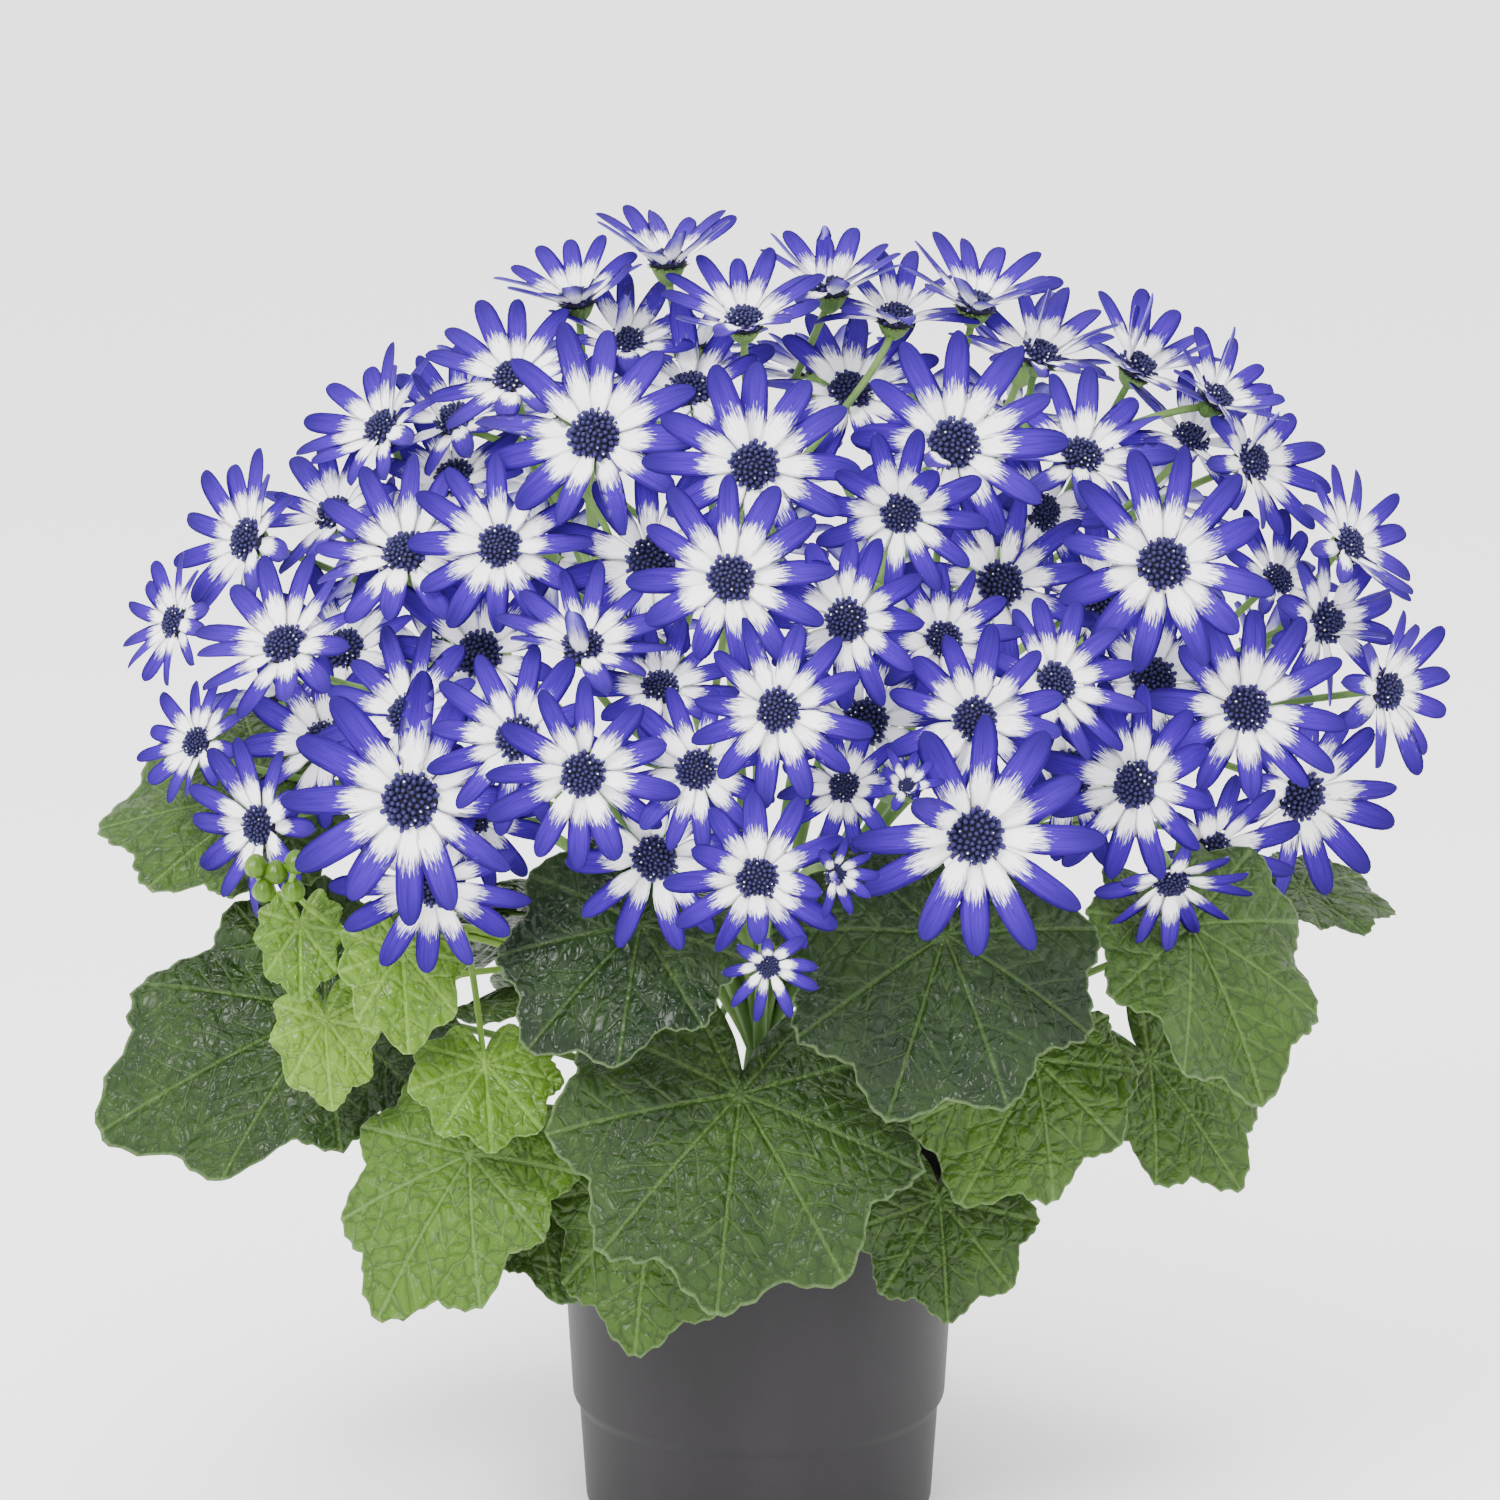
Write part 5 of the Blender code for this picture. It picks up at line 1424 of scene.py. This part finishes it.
def rays(bloom, rng):
    """All petals of a bloom: each is a flat tube round a bent middle line. Its
    upper side is a shallow channel. The line's slope is the petal's lift plus
    its curl times (t to the power 1.6, less 0.35), t being 1 at the tip."""
    n = bloom.count
    angle = bloom.start + 2 * math.pi * np.arange(n) / n
    angle = angle + rng.normal(0, 0.035, n)
    lift = np.array(bloom.lifts)
    long = np.array(bloom.lengths)
    curl = rng.normal(-0.08, 0.16, n)
    swerve = rng.normal(0, 0.04, n)
    twist = rng.normal(0, 0.34, n)
    broad = rng.uniform(0.84, 1.08, n)
    t = RAY_ROWS
    foot = 0.62 * DISC_SHARE * bloom.radius
    reach = bloom.radius * long - foot
    slope = lift[:, None] + curl[:, None] * (t**1.6 - 0.35)
    step = np.diff(t, prepend=0.0) * reach[:, None]
    out = foot + np.cumsum(step * np.cos(slope), axis=1)
    rise = np.cumsum(step * np.sin(slope), axis=1) + 0.0006 * np.where(np.arange(n) % 2, 1, -1)[:, None]
    aside = reach[:, None] * swerve[:, None] * t**2
    way = np.cos(angle)[:, None] * bloom.side + np.sin(angle)[:, None] * bloom.other
    turn = -np.sin(angle)[:, None] * bloom.side + np.cos(angle)[:, None] * bloom.other
    line = (
        bloom.place
        + out[..., None] * way[:, None]
        + rise[..., None] * bloom.facing
        + aside[..., None] * turn[:, None]
    )
    normal = np.cos(slope)[..., None] * bloom.facing - np.sin(slope)[..., None] * way[:, None]
    spin = twist[:, None] * t
    across = np.cos(spin)[..., None] * turn[:, None] + np.sin(spin)[..., None] * normal
    normal = np.cross(np.gradient(line, axis=1), across)
    normal = normal / np.linalg.norm(normal, axis=-1)[..., None]
    flip = np.sign(np.sum(normal * bloom.facing, axis=-1))
    normal = normal * np.where(flip == 0, 1, flip)[..., None]
    v = RAY_ACROSS
    under = RAY_UNDER
    wide = PETAL_HALF_WIDTH * 1.02 * bloom.radius * ray_width(t)[None, :] * broad[:, None]
    channel = 0.24 * np.abs(v) ** 1.2
    points = (
        line[:, :, None]
        + (wide[..., None] * v)[..., None] * across[:, :, None]
        + (wide[..., None] * channel - under * RAY_THICK)[..., None] * normal[:, :, None]
    )
    ring = len(v)
    share = np.broadcast_to((foot + t * reach[:, None])[..., None] / bloom.radius, (n, len(t), ring))
    whim = rng.uniform(0, 1, n)[:, None, None] + 0 * share
    ray = np.stack([share, v + 0 * share, whim], -1)
    back = np.stack([under + 0 * share, t[None, :, None] + 0 * share, 0 * share + rng.uniform()], -1)
    starts = np.arange(n) * len(t) * ring
    quads = np.concatenate([ring_faces(len(t), ring, k)[:, ::-1] for k in starts])
    k = np.arange(ring - 2)
    cap = np.stack([np.full(ring - 2, ring - 1), k, k + 1], -1)
    tip = (len(t) - 1) * ring
    caps = np.concatenate([np.concatenate([cap + k, cap[:, ::-1] + tip + k]) for k in starts])
    return points.reshape(-1, 3), [quads, caps], ray.reshape(-1, 3), back.reshape(-1, 3)


petal_skin = Finish("petal_skin", Roughness=0.6, Specular_IOR_Level=0.12)
share, across, whim = petal_skin.marks("ray")
under = petal_skin.marks("back")[0]
fine = petal_skin.together(share * 5.0, across * 7.0 + whim * 40.0, whim * 13.0)
streak = petal_skin.noise(1.6, 3.0, fine, 0.6)
vein = petal_skin.noise(1.5, 3.0, petal_skin.together(share * 2.2, across * 6.5 + whim * 30.0, whim * 9.0))
edge_pull = across.size().power(2.0) * 0.10
turning = share + (streak - 0.5) * 0.48 + edge_pull + (whim - 0.5) * 0.07
blue_part = turning.ramp(0.41, 0.55)
deepening = share.ramp(0.50, 1.0)
blue = petal_skin.mix(deepening, (0.042, 0.0005, 0.310), (0.013, 0.0002, 0.110))
blue = petal_skin.mix((vein - 0.42) * 2.2 + edge_pull * 1.5, blue, (0.010, 0.0002, 0.085))
white = petal_skin.mix((vein - 0.45) * 0.5, (0.98, 0.98, 0.99), (0.84, 0.84, 0.91))
upper = petal_skin.mix(blue_part, white, blue)
lavender = petal_skin.mix(turning.ramp(0.42, 0.75), (0.80, 0.80, 0.92), (0.19, 0.13, 0.66))
lavender = petal_skin.mix((vein - 0.5) * 0.8, lavender, (0.11, 0.07, 0.50))
petal_skin.paint(petal_skin.mix(under, upper, lavender))
petal_skin.bump(vein, 0.0005, 0.5)

# Discs: a navy eye of small florets in a spiral, leaning out and paler at its
# edge, with white pollen on some of their tips. It sits on the petals' feet.
FLORETS = 72
FLORET_SIDES = 5
POLLEN = 15
DOME_SIDES = 24


def disc(bloom, rng):
    """A bloom's eye: a low dome with a five-sided peg for each floret, set
    at the golden angle, and small eight-faced grains of pollen."""
    wide = DISC_SHARE * bloom.radius
    k = np.arange(FLORETS)
    out = 1.02 * np.sqrt((k + 0.5) / FLORETS)
    turn = k * math.pi * (3 - math.sqrt(5))
    high = 0.52 * np.sqrt(np.clip(1.08 - out**2, 0, 1))
    size = wide * 0.088 * (1 + 0.25 * out)
    way = np.cos(turn)[:, None] * bloom.side + np.sin(turn)[:, None] * bloom.other
    spot = bloom.place + wide * (out[:, None] * way + high[:, None] * bloom.facing)
    aim = bloom.facing * (1.15 - out[:, None] ** 2) + way * out[:, None] ** 1.5 * 0.9
    aim = aim + rng.normal(0, 0.10, aim.shape)
    aim /= np.linalg.norm(aim, axis=1)[:, None]
    side = np.cross(aim, bloom.side + 0.3 * bloom.other)
    side /= np.linalg.norm(side, axis=1)[:, None]
    other = np.cross(aim, side)
    tall = size * rng.uniform(1.2, 2.6, FLORETS)
    corners = []
    for level, swell in ((-1.2, 0.9), (0.75, 1.05), (1.0, 0.45)):
        for a in range(FLORET_SIDES):
            around = a * 2 * math.pi / FLORET_SIDES
            spread = math.cos(around) * side + math.sin(around) * other
            corners.append(spot + aim * (tall * level)[:, None] + spread * (size * swell)[:, None])
    points = np.stack(corners, 1)
    starts = 3 * FLORET_SIDES * k[:, None]
    quads = np.concatenate([ring_faces(3, FLORET_SIDES, j) for j in starts[:, 0]])
    lids = starts + np.arange(2 * FLORET_SIDES, 3 * FLORET_SIDES)
    feet = starts + np.arange(FLORET_SIDES)[::-1]
    level = np.repeat([0.0, 0.6, 1.0], FLORET_SIDES)[None, :, None] + 0 * points[..., :1]
    tint = np.concatenate([level, out[:, None, None] + 0 * level, 0 * level], -1)
    dome_turn = 2 * math.pi * np.arange(DOME_SIDES) / DOME_SIDES
    dome_out = np.array([1.06, 1.04, 0.9, 0.65, 0.35, 0.08])
    dome_high = np.array([-0.12, 0.08, 0.24, 0.40, 0.48, 0.50])
    ring = np.cos(dome_turn)[:, None] * bloom.side + np.sin(dome_turn)[:, None] * bloom.other
    dome = bloom.place + wide * (
        dome_out[:, None, None] * ring[None] + dome_high[:, None, None] * bloom.facing
    )
    dome = dome.reshape(-1, 3)
    dome_top = np.arange(5 * DOME_SIDES, 6 * DOME_SIDES)[None]
    dome_faces = [ring_faces(6, DOME_SIDES), dome_top, np.arange(DOME_SIDES)[::-1][None]]
    grains = rng.choice(np.arange(FLORETS // 4, FLORETS), POLLEN, replace=False)
    tip = spot[grains] + aim[grains] * tall[grains][:, None] * 1.05
    ends = np.array([(1, 0, 0), (0, 1, 0), (-1, 0, 0), (0, -1, 0), (0, 0, 1), (0, 0, -1)], float)
    specks = tip[:, None] + ends[None] * (wide * rng.uniform(0.030, 0.062, POLLEN))[:, None, None]
    eight = []
    for a in range(4):
        eight += [(a, (a + 1) % 4, 4), ((a + 1) % 4, a, 5)]
    eight = np.array(eight)
    speck_faces = np.concatenate([eight + 6 * j for j in range(POLLEN)])
    return [
        (points.reshape(-1, 3), [quads, lids, feet], tint.reshape(-1, 3)),
        (dome, dome_faces, np.zeros((len(dome), 3))),
        (specks.reshape(-1, 3), [speck_faces], np.tile([[0.0, 0.0, 1.0]], (POLLEN * 6, 1))),
    ]


disc_skin = Finish("disc_skin", Roughness=0.6, Specular_IOR_Level=0.2)
level, outward, pollen = disc_skin.marks("floret")
dark = disc_skin.mix(level, (0.006, 0.005, 0.018), (0.022, 0.020, 0.085))
dark = disc_skin.mix(outward.ramp(0.72, 1.0) * level * 0.5, dark, (0.060, 0.040, 0.230))
disc_skin.paint(disc_skin.mix(pollen, dark, (0.85, 0.85, 0.88)))

# Sprays: each is three pieces, its green stalks and cups, its petals and its
# discs.
for s in range(SPRAYS):
    half = 0.5 * HUB_RADIUS * unit(hubs[s] - heart)
    swelling = (0.6 * HUB_RADIUS, 0.95 * HUB_RADIUS, 0.6 * HUB_RADIUS)
    greens = [round_rod(np.array([hubs[s] - half, hubs[s], hubs[s] + half]), swelling, 12)]
    petal_parts = []
    disc_parts = []
    for i, bloom in enumerate(blooms):
        if spray_of[i] != s:
            continue
        rng = np.random.default_rng(700 + i)
        radii = np.linspace(PEDICEL_RADIUS, 0.0013, len(pedicels[i]))
        greens.append(round_rod(pedicels[i], radii, 8))
        greens.append(flower_cup(bloom))
        petal_parts.append(rays(bloom, rng))
        disc_parts += disc(bloom, rng)
    name = f"flower_spray_{s + 1:02d}"
    points, faces, _ = gathered(greens)
    make_piece(name + "_stalks", points, faces, stem_skin, [name])
    points, faces, (ray, back) = gathered(petal_parts)
    make_piece(name + "_petals", points, faces, petal_skin, [name], {"ray": ray, "back": back})
    points, faces, (tint,) = gathered(disc_parts)
    make_piece(name + "_discs", points, faces, disc_skin, [name], {"floret": tint})


# Stage: a pale floor and surround, soft lights from in front and above, and
# the camera where the photograph was taken from.
def area_light(name, place, aim, size, power, color=(1, 1, 1)):
    lamp = bpy.data.lights.new(name, "AREA")
    lamp.shape = "DISK"
    lamp.size = size
    lamp.energy = power
    lamp.color = color
    made = bpy.data.objects.new(name, lamp)
    bpy.context.scene.collection.objects.link(made)
    made.location = place
    way = (np.array(aim) - np.array(place)).tolist()
    made.rotation_mode = "QUATERNION"
    made.rotation_quaternion = Vector(way).to_track_quat("-Z", "Y")
    return made


world = bpy.data.worlds.new("studio")
world.use_nodes = True
world.node_tree.nodes["Background"].inputs["Color"].default_value = (1.0, 1.0, 1.0, 1.0)
world.node_tree.nodes["Background"].inputs["Strength"].default_value = 2.6
bpy.context.scene.world = world
floor_finish = Finish("pale_floor", Roughness=0.9)
floor_grain = floor_finish.noise(3.0, 2.0)
floor_finish.paint(floor_finish.mix(floor_grain * 0.1, (0.96, 0.96, 0.96), (0.93, 0.93, 0.93)))
floor_mesh = bpy.data.meshes.new("floor")
floor_mesh.from_pydata([(-20, -20, 0), (20, -20, 0), (20, 20, 0), (-20, 20, 0)], [], [(0, 1, 2, 3)])
floor = bpy.data.objects.new("floor", floor_mesh)
floor.data.materials.append(floor_finish.material)
bpy.context.scene.collection.objects.link(floor)

area_light("key", (-0.9, -1.5, 1.6), (0, 0, 0.25), 0.9, 60.0)
area_light("fill", (1.5, -1.2, 0.8), (0, 0, 0.25), 1.2, 8.0)
area_light("top", (0.1, 0.3, 1.7), (0, 0, 0.3), 1.0, 14.0)

SENSOR = 36.0
camera_data = bpy.data.cameras.new("camera")
camera = bpy.data.objects.new("camera", camera_data)
bpy.context.scene.collection.objects.link(camera)
camera_data.sensor_width = SENSOR
camera_data.lens = SENSOR * VIEW_DISTANCE / (2 * VIEW_HALF * VIEW_STEP)
camera.location = np.array(VIEW_MIDDLE) + eye_back * VIEW_DISTANCE
camera.rotation_mode = "QUATERNION"
camera.rotation_quaternion = Vector((-eye_back).tolist()).to_track_quat("-Z", "Y")
bpy.context.scene.camera = camera
